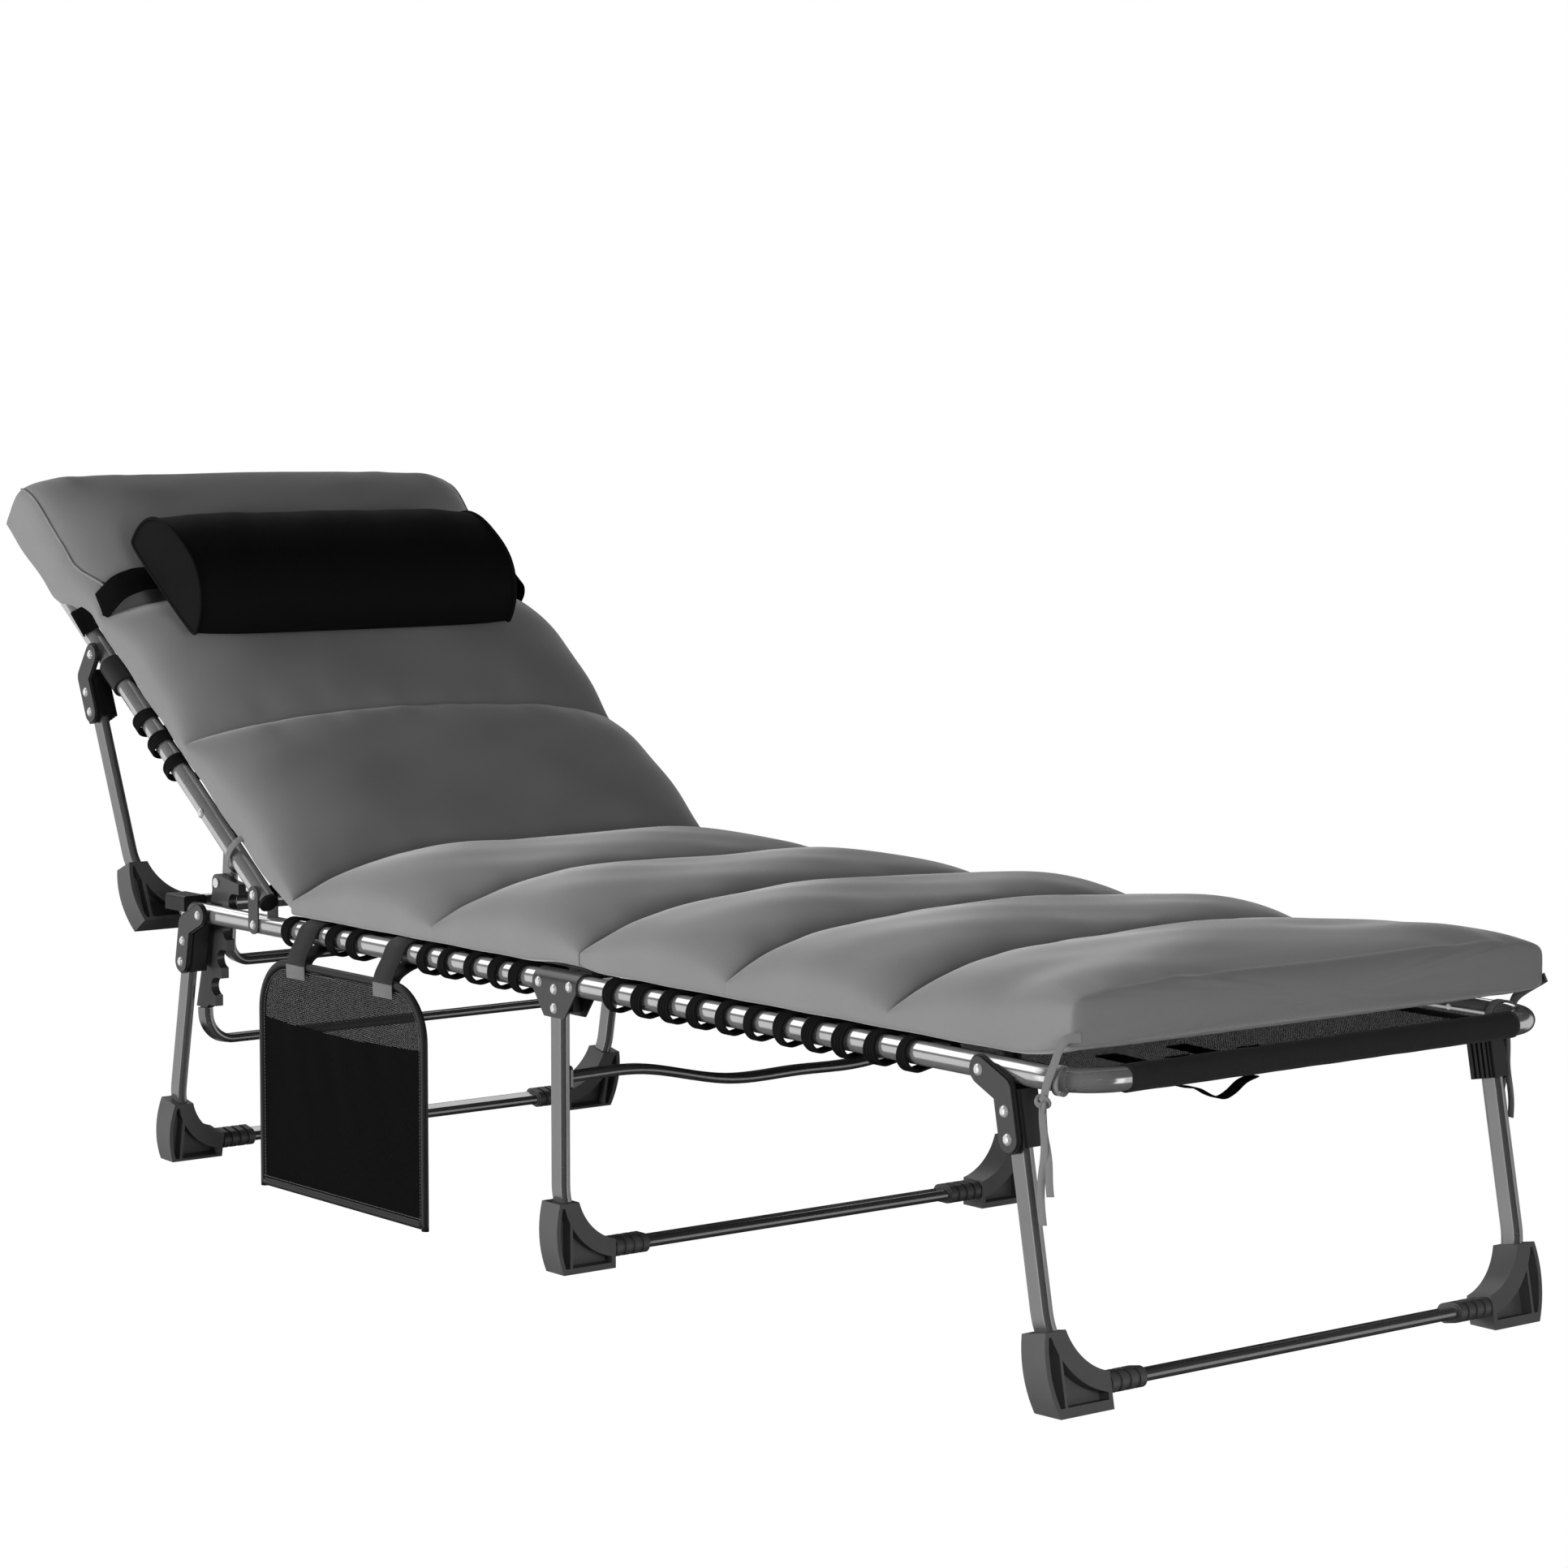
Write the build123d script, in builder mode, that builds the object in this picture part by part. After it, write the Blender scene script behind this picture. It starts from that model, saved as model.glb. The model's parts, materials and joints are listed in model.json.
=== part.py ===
from build123d import *
from math import atan2, cos, degrees, hypot, radians, sin, tan
import os

os.makedirs("parts", exist_ok=True)

# Folding padded lounge cot, in millimetres. +X runs to the foot end, +Y to the side
# without the pocket, +Z up. The origin is on the floor, midway between the middle feet.

# Bed rails: two U-shaped round tubes that meet at the middle leg.
rail_d = 22.0
rail_wall = 1.2
rail_y = 293.0
rail_z = 290.0
foot_end_x = 755.0
head_end_x = -770.0
corner_bend = 50.0

# Flat oval tube of the legs, the rack frame and the back support.
leg_width = 24.0
leg_thick = 11.0
leg_wall = 1.2
leg_bend = 70.0

# Gussets of the middle fold.
hinge_x = 26.0
gusset_half_top = 37.0
gusset_half_foot = 17.0
gusset_drop = 33.0
gusset_steel = 1.8
centre_leg_y = 298.9
brace_z = 196.0
brace_dip = 22.0
brace_width = 20.0
brace_thick = 10.0

# Folding legs: the pivot is on the rail, the tube stands off to the outer side of it.
leg_y = 298.5
leg_offset = 30.0
leg_splay = 11.0
front_pivot_x = 643.0
rear_pivot_x = -680.0
head_pivot_u = 424.0
head_leg_drop = 312.0
head_leg_splay = 8.0
head_leg_fold = 66.1
plate_steel = 2.0
washer_thick = 3.0
plate_half = 11.5
washer_margin = 2.0
knuckle_wall = 3.6
knuckle_inner = 284.0
knuckle_length = 54.0

# Moulded shoes.
shoe_width = 31.0
shoe_height = 72.0
shoe_bulge = 15.8
shoe_shell = 4.5
bar_height = 19.0
rib_count = 4
rib_pitch = 11.0
shoe_inset = 14.0

# Back frame: it tilts on two link plates that stand on the rails.
link_x = -571.0
link_rise = 33.0
link_half = 10.0
back_angle = 35.5
back_top_u = 668.0
back_end_u = -12.0
cap_length = 4.0

# Back support and the notched racks it drops into.
support_u = 139.0
support_y = 263.3
support_thick = 10.0
rack_y = 274.1
rack_thick = 9.8
notch_count = 5
notch_pitch = 35.3
notch_lean = 21.8
top_tooth_x = -646.5
top_tooth_z = 319.7
tooth_height = 12.0
notch_depth = 22.0
rack_depth = 44.0
rack_top_x = -694.0
rack_top_z = 323.0
rack_top_r = 10.0
bar_seat_x = -699.0
bar_seat_z = 233.0
rack_frame_bend = 30.0
rack_bar_z = 140.0

# Mesh bed, its hems and the elastic loops that hold it to the rails.
hem_y = 250.0
hem_d = 8.0
mesh_thick = 2.0
loop_width = 7.0
loop_thick = 3.5
sleeve_thick = 1.0

# Quilted pad.
pad_half_width = 290.0
pad_lift = 2.5
pad_split = 31.0
pad_cell = 236.5
pad_end_cell = 263.0
pad_past_crossbar = 7.0
fold_r = 78.0
fold_half = 277.0
seat_pad_start = -548.0
head_mesh_start = seat_pad_start + 4.0
mesh_split = 16.0
back_pad_start = 80.0
back_pad_end = 690.0

# Pillow, its strap, and the side pocket.
pillow_u = 420.0
pillow_height = 184.0
pillow_depth = 78.0
pillow_half_length = 223.0
pillow_aside = 33.0
hood_start = 500.0
hood_half = 306.5
hood_drop = 12.0
hood_top = 40.0
hood_gap = 0.6
strap_u = 472.0
strap_width = 45.0
strap_thick = 2.0
pocket_left = -536.0
pocket_right = -212.0
pocket_top = 262.0
pocket_bottom = 10.0
pocket_corner = 42.0
pocket_y = 316.6
pocket_thick = 3.4
hanger_width = 36.0

# Rivets and running clearances.
rivet_r = 3.0
dome_r = 5.5
dome_h = 2.6
pin_gap = 0.05
part_gap = 0.3
turn_gap = 0.6

rail_r = rail_d / 2
link_z = rail_z + link_rise
boss_y = rail_y + rail_r + part_gap
washer_y = leg_y + leg_thick / 2 + 3.0
plate_y = washer_y + washer_thick
plate_face = plate_y + plate_steel
inner_y = rail_y - rail_r - part_gap

back_plane = Plane(
    origin=(link_x, 0, link_z),
    x_dir=(-cos(radians(back_angle)), 0, sin(radians(back_angle))),
    z_dir=(0, 1, 0),
)
flat_plane = Plane(origin=(link_x, 0, link_z), x_dir=(-1, 0, 0), z_dir=(0, 1, 0))
side_plane = Plane(origin=(0, 0, 0), x_dir=(1, 0, 0), z_dir=(0, -1, 0))


def save(part, name):
    part.label = name
    export_step(part, f"parts/{name}.step")


def axis_plane(side, across, point, along):
    # Plane whose x runs along the bed's width and whose y runs along a direction in a side view.
    start = side.from_local_coords((point[0], point[1], 0))
    up = side.from_local_coords((point[0] + along[0], point[1] + along[1], 0)) - start
    return Plane(origin=start, x_dir=across, z_dir=across.cross(up))


def bent_tube(plane, points, bend, width, thick, wall, round_section=False):
    # Sweeps a round or flat oval section along straight runs joined by arcs.
    with BuildLine(plane) as path:
        FilletPolyline(*points, radius=bend)
    wire = path.wires()[0]
    section = Plane(origin=wire @ 0, x_dir=plane.z_dir, z_dir=wire % 0)
    with BuildPart() as tube:
        with BuildSketch(section):
            if round_section:
                Circle(width / 2)
                if wall:
                    Circle(width / 2 - wall, mode=Mode.SUBTRACT)
            else:
                SlotOverall(width, thick)
                if wall:
                    SlotOverall(width - 2 * wall, thick - 2 * wall, mode=Mode.SUBTRACT)
        sweep(path=wire)
    return tube.part


def cross_holes(part, side, centres, radius, start, end):
    # Drills both sides of a frame, from one distance off the middle to another.
    with BuildPart() as drilled:
        add(part)
        for sign in (-1, 1):
            with BuildSketch(side.offset(sign * start)):
                with Locations(*centres):
                    Circle(radius)
            extrude(amount=sign * (end - start), mode=Mode.SUBTRACT)
    return drilled.part


def rivet_group(rows):
    # Domed rivets on both sides. Each row gives the side view, the centres, the distance of
    # the outer face, the shank's inner end, and the start, end and radius of a clenched tail.
    with BuildPart() as group:
        for side, centres, face, inner, tail in rows:
            for sign in (-1, 1):
                for centre in centres:
                    base = side.offset(sign * face)
                    start = base.from_local_coords((centre[0], centre[1], 0))
                    out = side.z_dir * sign
                    profile = Plane(origin=start, x_dir=side.x_dir, z_dir=side.x_dir.cross(out))
                    with BuildSketch(profile):
                        Polygon(
                            (0, inner - face),
                            (rivet_r, inner - face),
                            (rivet_r, tail[0] - face),
                            (tail[2], tail[0] - face),
                            (tail[2], tail[1] - face),
                            (rivet_r, tail[1] - face),
                            (rivet_r, 0),
                            (dome_r, 0),
                            (dome_r * 0.9, dome_h * 0.42),
                            (dome_r * 0.58, dome_h * 0.84),
                            (0, dome_h),
                            align=None,
                        )
                    revolve(axis=Axis(start, out))
    return group.part


def rounded_end(part, side, centre, toward):
    # Trims a round rail's end to a half circle about its pivot and its corners to a ball,
    # so it turns inside its bracket's rounded channel.
    reach = 2 * rail_d
    with BuildPart() as trimmed:
        add(part)
        with BuildSketch(side.offset(-2 * rail_y)):
            with Locations((centre[0] + toward * reach / 2, centre[1])):
                Rectangle(reach, rail_d * 2)
            with Locations(centre):
                Circle(rail_r, mode=Mode.SUBTRACT)
        extrude(amount=4 * rail_y, mode=Mode.SUBTRACT)
        for sign in (-1, 1):
            with BuildPart(mode=Mode.SUBTRACT):
                with Locations((centre[0] + toward * reach / 2, sign * rail_y, centre[1])):
                    Box(reach, 2 * rail_d, 2 * rail_d)
                with Locations((centre[0], sign * rail_y, centre[1])):
                    Sphere(rail_r + turn_gap, mode=Mode.SUBTRACT)
    return trimmed.part


# ---- Legs ----


def leg_frame(side, stand, splay, drop, half_width):
    down = (sin(radians(splay)), -cos(radians(splay)))
    plane = axis_plane(side, Vector(0, 1, 0), (stand, 0), (-down[0], -down[1]))
    length = (drop - bar_height) / cos(radians(splay))
    return plane, length


def leg_path(length, half_width, top):
    return [(-half_width, -top), (-half_width, -length), (half_width, -length), (half_width, -top)]


def shoes(side, stand, splay, drop, half_width):
    # One moulded shoe on each lower corner: a curved outer shell with a window and a rib
    # on both faces, a wrap round the bend, and a ribbed sleeve along the bar.
    plane, length = leg_frame(side, stand, splay, drop, half_width)
    sole = -length - bar_height / cos(radians(splay))
    floor_dip = 8.0
    bend_x = half_width - leg_bend
    bend_y = -length + leg_bend
    wrap_in = leg_bend - leg_thick / 2 - 3.5
    wrap_out = leg_bend + leg_thick / 2 + 3.5
    top_y = sole + shoe_height
    top_x = bend_x + (wrap_in**2 - (bend_y - top_y) ** 2) ** 0.5
    sleeve_x = bend_x + shoe_inset
    sleeve_y = bend_y - (wrap_in**2 - shoe_inset**2) ** 0.5
    mid_x = bend_x + wrap_in * cos(radians(45))
    mid_y = bend_y - wrap_in * sin(radians(45))

    with BuildLine() as outline:
        ThreePointArc(
            (half_width + 12.0, top_y),
            (half_width + shoe_bulge, sole + shoe_height * 0.55),
            (half_width + 3.5, sole - floor_dip),
        )
        Line((half_width + 3.5, sole - floor_dip), (sleeve_x, sole - floor_dip))
        Line((sleeve_x, sole - floor_dip), (sleeve_x, sleeve_y))
        ThreePointArc((sleeve_x, sleeve_y), (mid_x, mid_y), (top_x, top_y))
        Line((top_x, top_y), (half_width + 12.0, top_y))
    with BuildLine(plane) as path:
        FilletPolyline((100, -length), (half_width, -length), (half_width, 120 - length), radius=leg_bend)
    wire = path.wires()[0]
    with BuildPart() as shoe:
        with BuildSketch(plane):
            make_face(outline.edges())
        extrude(amount=shoe_width / 2, both=True)
        # Windows, with an upright rib left standing, to a web in the middle.
        with BuildSketch(plane.offset(-shoe_width)):
            make_face(outline.edges())
            offset(amount=-shoe_shell, mode=Mode.REPLACE)
            with Locations((bend_x, bend_y)):
                Circle(wrap_out, mode=Mode.SUBTRACT)
            with Locations((half_width - 2.0, sole)):
                Rectangle(3.0, 3 * shoe_height, mode=Mode.SUBTRACT)
            with Locations((half_width, sole - floor_dip)):
                Rectangle(4 * shoe_height, 2 * (floor_dip + shoe_shell + 1.5), mode=Mode.SUBTRACT)
        extrude(amount=2 * shoe_width, mode=Mode.SUBTRACT)
        with BuildSketch(plane):
            make_face(outline.edges())
        extrude(amount=2.5, both=True)
        # Sleeve with ribs.
        sleeve_end = sleeve_x - rib_pitch * rib_count
        sleeve_plane = Plane(
            origin=plane.from_local_coords((sleeve_x, -length, 0)), x_dir=plane.z_dir, z_dir=-plane.x_dir
        )
        with BuildSketch(sleeve_plane):
            SlotOverall(leg_width + 4.0, leg_thick + 4.0)
        extrude(amount=rib_pitch * rib_count)
        for number in range(rib_count):
            with BuildSketch(sleeve_plane.offset(number * rib_pitch + 2.0)):
                SlotOverall(leg_width + 7.5, leg_thick + 8.0)
            extrude(amount=rib_pitch - 3.5)
        # The tube runs through it.
        with BuildSketch(Plane(origin=wire @ 0, x_dir=plane.z_dir, z_dir=wire % 0)):
            SlotOverall(leg_width + 2 * pin_gap, leg_thick + 2 * pin_gap)
        sweep(path=wire, mode=Mode.SUBTRACT)
        # Flat sole, level with the floor when the leg stands.
        sole_plane = Plane(
            origin=side.from_local_coords((0, -drop, 0)),
            x_dir=side.x_dir,
            z_dir=side.y_dir,
        )
        split(bisect_by=sole_plane, keep=Keep.TOP)
        mirror(about=Plane.XZ)
    return shoe.part


def bracket_points(stand, splay):
    # Pivot, elbow and the two lower rivets of the boomerang plate.
    slope = tan(radians(splay))
    elbow = (stand - 2.0 + 14.0 * slope, -14.0)
    upper = (stand - 2.0 + 32.0 * slope, -32.0)
    lower = (stand - 2.0 + 56.0 * slope, -56.0)
    return (0.0, 0.0), elbow, upper, lower


def boomerang(stand, splay, half):
    pivot, elbow, upper, lower = bracket_points(stand, splay)
    for start, end in ((pivot, elbow), (elbow, lower)):
        middle = ((start[0] + end[0]) / 2, (start[1] + end[1]) / 2)
        run = hypot(end[0] - start[0], end[1] - start[1])
        turn = degrees(atan2(end[1] - start[1], end[0] - start[0]))
        with Locations(Location((middle[0], middle[1]), turn)):
            SlotCenterToCenter(run, 2 * half)


def folding_leg(name, side, stand, splay, drop):
    # A folding leg: U tube, shoes, boomerang plates, plastic washers and knuckles, rivets.
    pivot, elbow, upper, lower = bracket_points(stand, splay)
    plane, length = leg_frame(side, stand, splay, drop, leg_y)
    top = rail_r + part_gap + 5.0
    points = leg_path(length, leg_y, top)
    tube = bent_tube(plane, points, leg_bend, leg_width, leg_thick, leg_wall)
    tube = cross_holes(tube, side, (upper, lower), rivet_r + pin_gap, leg_y, leg_y + leg_thick)
    save(tube, f"{name}_tube")
    save(shoes(side, stand, splay, drop, leg_y), f"{name}_shoes")

    holes = (pivot, upper, lower)
    for piece, start, thick, half in (
        ("plates", plate_y, plate_steel, plate_half),
        ("washers", washer_y, washer_thick, plate_half + washer_margin),
    ):
        with BuildPart() as plates:
            for sign in (-1, 1):
                if start == washer_y:
                    with BuildSketch(side.offset(sign * boss_y)):
                        Circle(rivet_r + 5.0)
                    extrude(amount=sign * (washer_y - boss_y))
                with BuildSketch(side.offset(sign * start)):
                    boomerang(stand, splay, half)
                extrude(amount=sign * thick)
                with BuildSketch(side.offset(sign * boss_y)):
                    with Locations(*holes):
                        Circle(rivet_r + pin_gap)
                extrude(amount=sign * 2 * leg_thick, mode=Mode.SUBTRACT)
        save(plates.part, f"{name}_{piece}")

    # Knuckle: a ridged plastic collar round the top of the tube. Its top is the fold stop.
    collar = Plane(origin=plane.origin, x_dir=plane.x_dir, z_dir=plane.y_dir)
    low = collar.offset(-rail_r - part_gap - knuckle_length)
    knuckle_y = (washer_y + knuckle_inner) / 2
    stop = Plane(
        origin=side.from_local_coords((0, -rail_r - 0.5, 0)), x_dir=side.x_dir, z_dir=side.y_dir
    )
    with BuildPart() as knuckles:
        for sign in (-1, 1):
            with BuildSketch(low):
                with Locations((sign * knuckle_y, 0)):
                    RectangleRounded(washer_y - knuckle_inner, leg_width + 2 * knuckle_wall, 3.0)
                for ridge in (-9.0, -3.0, 3.0, 9.0):
                    with Locations((sign * (knuckle_inner - 0.4), ridge)):
                        Rectangle(2.4, 3.0)
            extrude(amount=knuckle_length + 10.0)
        for sign in (-1, 1):
            with BuildSketch(low):
                with Locations((sign * leg_y, 0)):
                    SlotOverall(leg_width + 2 * pin_gap, leg_thick + 2 * pin_gap, rotation=90)
            extrude(amount=knuckle_length - 4.0, mode=Mode.SUBTRACT)
            with BuildSketch(side.offset(sign * leg_y)):
                with Locations(upper, lower):
                    Circle(rivet_r + pin_gap)
            extrude(amount=sign * 2 * leg_thick, mode=Mode.SUBTRACT)
        split(bisect_by=stop, keep=Keep.BOTTOM)
    save(knuckles.part, f"{name}_knuckles")

    leg_face = leg_y + leg_thick / 2
    leg_tail = (leg_y + 1.5, leg_face - leg_wall - 0.1, dome_r - 1.0)
    rail_tail = (rail_y + 4.0, rail_y + 8.2, dome_r - 1.0)
    rows = [
        (side, (upper, lower), plate_face, leg_y + 1.0, leg_tail),
        (side, (pivot,), plate_face, rail_y - rail_r + 0.2, rail_tail),
    ]
    save(rivet_group(rows), f"{name}_rivets")


front_side = Plane(origin=(front_pivot_x, 0, rail_z), x_dir=(1, 0, 0), z_dir=(0, -1, 0))
rear_side = Plane(origin=(rear_pivot_x, 0, rail_z), x_dir=(-1, 0, 0), z_dir=(0, 1, 0))
fold_turn = radians(back_angle - head_leg_fold)
head_side = Plane(
    origin=back_plane.from_local_coords((head_pivot_u, 0, 0)),
    x_dir=(-cos(fold_turn), 0, sin(fold_turn)),
    z_dir=(0, 1, 0),
)
folding_leg("front_leg", front_side, leg_offset, leg_splay, rail_z)
folding_leg("rear_leg", rear_side, leg_offset, leg_splay, rail_z)
folding_leg("head_leg", head_side, leg_offset, head_leg_splay, head_leg_drop)


# ---- Middle fold: gussets, standing leg, spacers, brace ----
upright = Plane(origin=(0, 0, 0), x_dir=(0, 1, 0), z_dir=(-1, 0, 0))
gusset_r = rail_r + turn_gap + 0.2
rivet_high = rail_z - 5.0
rivet_low = rail_z - 24.0
gusset_z = rail_z - gusset_drop
middle = ((0, rivet_high), (0, rivet_low))
hinges = ((-hinge_x, rail_z), (hinge_x, rail_z))
gusset_out = rail_y + gusset_r + gusset_steel
gusset_in = rail_y - gusset_r - gusset_steel

with BuildPart() as gussets:
    with BuildSketch(Plane.YZ.offset(-gusset_half_top)):
        for sign in (-1, 1):
            with Locations((sign * rail_y, rail_z)):
                Circle(gusset_r + gusset_steel)
            with Locations((sign * rail_y, (rail_z + gusset_z) / 2 - 2.0)):
                Rectangle(2 * (gusset_r + gusset_steel), rail_z - gusset_z + 4.0)
        for sign in (-1, 1):
            with Locations((sign * rail_y, rail_z)):
                Circle(gusset_r, mode=Mode.SUBTRACT)
            with Locations((sign * rail_y, gusset_z - 10.0)):
                Rectangle(2 * gusset_r, 2 * (rail_z - gusset_z + 10.0), mode=Mode.SUBTRACT)
    extrude(amount=2 * gusset_half_top)
    with BuildSketch(side_plane.offset(-2 * rail_y)):
        Polygon(
            (-gusset_half_top, rail_z + 40.0),
            (-gusset_half_top, rail_z - 6.0),
            (-gusset_half_foot, gusset_z),
            (gusset_half_foot, gusset_z),
            (gusset_half_top, rail_z - 6.0),
            (gusset_half_top, rail_z + 40.0),
            align=None,
        )
    extrude(amount=4 * rail_y, mode=Mode.INTERSECT)
    with BuildSketch(side_plane.offset(-2 * rail_y)):
        with Locations(*middle, *hinges):
            Circle(rivet_r + pin_gap)
    extrude(amount=4 * rail_y, mode=Mode.SUBTRACT)
save(gussets.part, "fold_gussets")

centre_top = (centre_leg_y, rail_z)
centre_low = (centre_leg_y, bar_height)
centre_points = [(-centre_top[0], centre_top[1]), (-centre_low[0], centre_low[1]), centre_low, centre_top]
stand_plane = Plane(origin=(0, 0, 0), x_dir=(0, 1, 0), z_dir=(1, 0, 0))
centre_tube = bent_tube(stand_plane, centre_points, leg_bend, leg_width, leg_thick, leg_wall)
centre_tube = cross_holes(
    centre_tube, side_plane, middle, rivet_r + pin_gap, centre_leg_y - leg_thick, centre_leg_y + leg_thick
)
brace_rivet = ((0, brace_z),)
centre_tube = cross_holes(
    centre_tube, side_plane, brace_rivet, rivet_r + pin_gap, centre_leg_y - leg_thick, centre_leg_y
)
save(centre_tube, "middle_leg_tube")
centre_side = Plane(origin=(0, 0, rail_z), x_dir=(1, 0, 0), z_dir=(0, -1, 0))
save(shoes(centre_side, 0.0, 0.0, rail_z, centre_leg_y), "middle_leg_shoes")

spacer_in = rail_y - gusset_r
spacer_out = centre_leg_y - leg_thick / 2
with BuildPart() as spacers:
    with BuildSketch(Plane.XY.offset(rail_z - 28.0)):
        for sign in (-1, 1):
            with Locations((0, sign * (spacer_in + spacer_out) / 2)):
                RectangleRounded(26.0, spacer_out - spacer_in, 1.5)
    extrude(amount=26.0)
    with BuildSketch(side_plane.offset(-2 * rail_y)):
        with Locations(*middle):
            Circle(rivet_r + pin_gap)
    extrude(amount=4 * rail_y, mode=Mode.SUBTRACT)
save(spacers.part, "fold_spacers")

hinge_tail = (gusset_in - 1.4, gusset_in, dome_r)
centre_rows = [
    (side_plane, middle, gusset_out, gusset_in - 1.5, hinge_tail),
    (side_plane, hinges, gusset_out, gusset_in - 1.5, hinge_tail),
]
save(rivet_group(centre_rows), "fold_rivets")

# Brace: a flat oval tube that dips in the middle, its flattened ends turned down the leg.
brace_end = centre_leg_y - leg_thick / 2
dip_z = brace_z - brace_dip
with BuildLine(stand_plane) as brace_path:
    Spline(
        (-brace_end + 0.5, brace_z),
        (-200.0, brace_z - 1.0),
        (-90.0, dip_z),
        (0.0, dip_z - 0.5),
        (90.0, dip_z),
        (200.0, brace_z - 1.0),
        (brace_end - 0.5, brace_z),
        tangents=((1, 0), (1, 0)),
    )
brace_wire = brace_path.wires()[0]
with BuildPart() as brace:
    with BuildSketch(Plane(origin=brace_wire @ 0, x_dir=(1, 0, 0), z_dir=brace_wire % 0)):
        SlotOverall(brace_width, brace_thick)
        SlotOverall(brace_width - 2 * leg_wall, brace_thick - 2 * leg_wall, mode=Mode.SUBTRACT)
    sweep(path=brace_wire)
    for sign in (-1, 1):
        with BuildSketch(side_plane.offset(sign * (brace_end - 3.0))):
            with Locations((0, brace_z)):
                RectangleRounded(brace_width, 24.0, 4.0)
        extrude(amount=sign * 3.0)
        with BuildSketch(side_plane.offset(sign * (brace_end - 12.0))):
            with Locations((0, brace_z)):
                Circle(rivet_r + pin_gap)
        extrude(amount=sign * 20.0, mode=Mode.SUBTRACT)
save(brace.part, "brace_tube")

with BuildPart() as brace_rivets:
    for sign in (-1, 1):
        with BuildSketch(side_plane.offset(sign * (brace_end - 4.8))):
            with Locations((0, brace_z)):
                Circle(dome_r - 2.1)
        extrude(amount=sign * 1.8)
        with BuildSketch(side_plane.offset(sign * (brace_end - 3.2))):
            with Locations((0, brace_z)):
                Circle(rivet_r)
        extrude(amount=sign * (3.2 + leg_wall + 1.0))
save(brace_rivets.part, "brace_rivets")


# ---- Rails ----
rail_plane = Plane(origin=(0, 0, rail_z), x_dir=(1, 0, 0), z_dir=(0, 0, 1))


def rail_points(start_x, end_x):
    return [(start_x, -rail_y), (end_x, -rail_y), (end_x, rail_y), (start_x, rail_y)]


def pivot_holes(part, centres):
    return cross_holes(part, side_plane, centres, rivet_r + pin_gap, rail_y - 15.0, rail_y + 15.0)


bed_end = hinge_x - rail_r
foot_tube = bent_tube(
    rail_plane, rail_points(bed_end, foot_end_x), corner_bend, rail_d, rail_d, rail_wall, True
)
foot_tube = rounded_end(foot_tube, side_plane, (hinge_x, rail_z), -1)
foot_tube = pivot_holes(foot_tube, ((hinge_x, rail_z), (front_pivot_x, rail_z)))
save(foot_tube, "foot_frame")

head_tube = bent_tube(
    rail_plane, rail_points(-bed_end, head_end_x), corner_bend, rail_d, rail_d, rail_wall, True
)
head_tube = rounded_end(head_tube, side_plane, (-hinge_x, rail_z), 1)
rear_pins = ((rear_pivot_x, rail_z), (rear_pivot_x - 21.0, rail_z), (link_x, rail_z))
head_tube = pivot_holes(head_tube, ((-hinge_x, rail_z), *rear_pins))
save(head_tube, "head_frame")

bumper_x = head_end_x + 32.0
with BuildPart() as bumpers:
    with BuildSketch(Plane.YZ.offset(bumper_x - 21.0)):
        for sign in (-1, 1):
            with Locations((sign * rail_y, rail_z + 2.0)):
                RectangleRounded(29.0, 31.0, 3.0)
    extrude(amount=42.0)
    with BuildSketch(Plane.YZ.offset(bumper_x - 21.0)):
        for sign in (-1, 1):
            with Locations((sign * rail_y, rail_z - 8.0)):
                Rectangle(29.0, 16.0)
    extrude(amount=42.0, mode=Mode.SUBTRACT)
    add(head_tube, mode=Mode.SUBTRACT)
save(bumpers.part, "bumper_blocks")


# ---- Notched racks and the tube that joins them ----
pitch_x = notch_pitch * sin(radians(notch_lean))
pitch_z = notch_pitch * cos(radians(notch_lean))
teeth = [(top_tooth_x - pitch_x * i, top_tooth_z - pitch_z * i) for i in range(notch_count)]
half_tooth = tooth_height / 2
rack_edge = [(x, z + half * half_tooth) for x, z in teeth for half in (1, -1)]
last_x, last_z = teeth[-1]
tail_x = last_x - rack_depth + 4.0
tail_z = last_z - 10.0
lean = Vector(sin(radians(notch_lean)), cos(radians(notch_lean)))

with BuildPart() as racks:
    for sign in (-1, 1):
        with BuildSketch(side_plane.offset(sign * (rack_y - rack_thick / 2))):
            Polygon(
                *rack_edge,
                (last_x - 16.0, last_z - half_tooth),
                (tail_x + leg_width - 4.0, tail_z),
                (tail_x - 2.0, tail_z),
                (teeth[0][0] - rack_depth - 13.0, teeth[0][1] - 6.0),
                (rack_top_x - rack_top_r, rack_top_z),
                (rack_top_x + 3.0, rack_top_z + rack_top_r - 1.0),
                align=None,
            )
            with Locations((rack_top_x, rack_top_z)):
                Circle(rack_top_r)
            for upper_tooth, lower_tooth in zip(teeth, teeth[1:]):
                gap_z = (upper_tooth[1] + lower_tooth[1]) / 2
                gap_r = (pitch_z - tooth_height) / 2
                with Locations((upper_tooth[0] - notch_depth + gap_r + 30.0, gap_z)):
                    SlotCenterToCenter(60.0, 2 * gap_r, mode=Mode.SUBTRACT)
            with Locations((rack_top_x, rack_top_z), (rear_pivot_x - 21.0, rail_z)):
                Circle(rivet_r + pin_gap, mode=Mode.SUBTRACT)
        extrude(amount=sign * rack_thick)
save(racks.part, "notched_racks")

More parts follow.
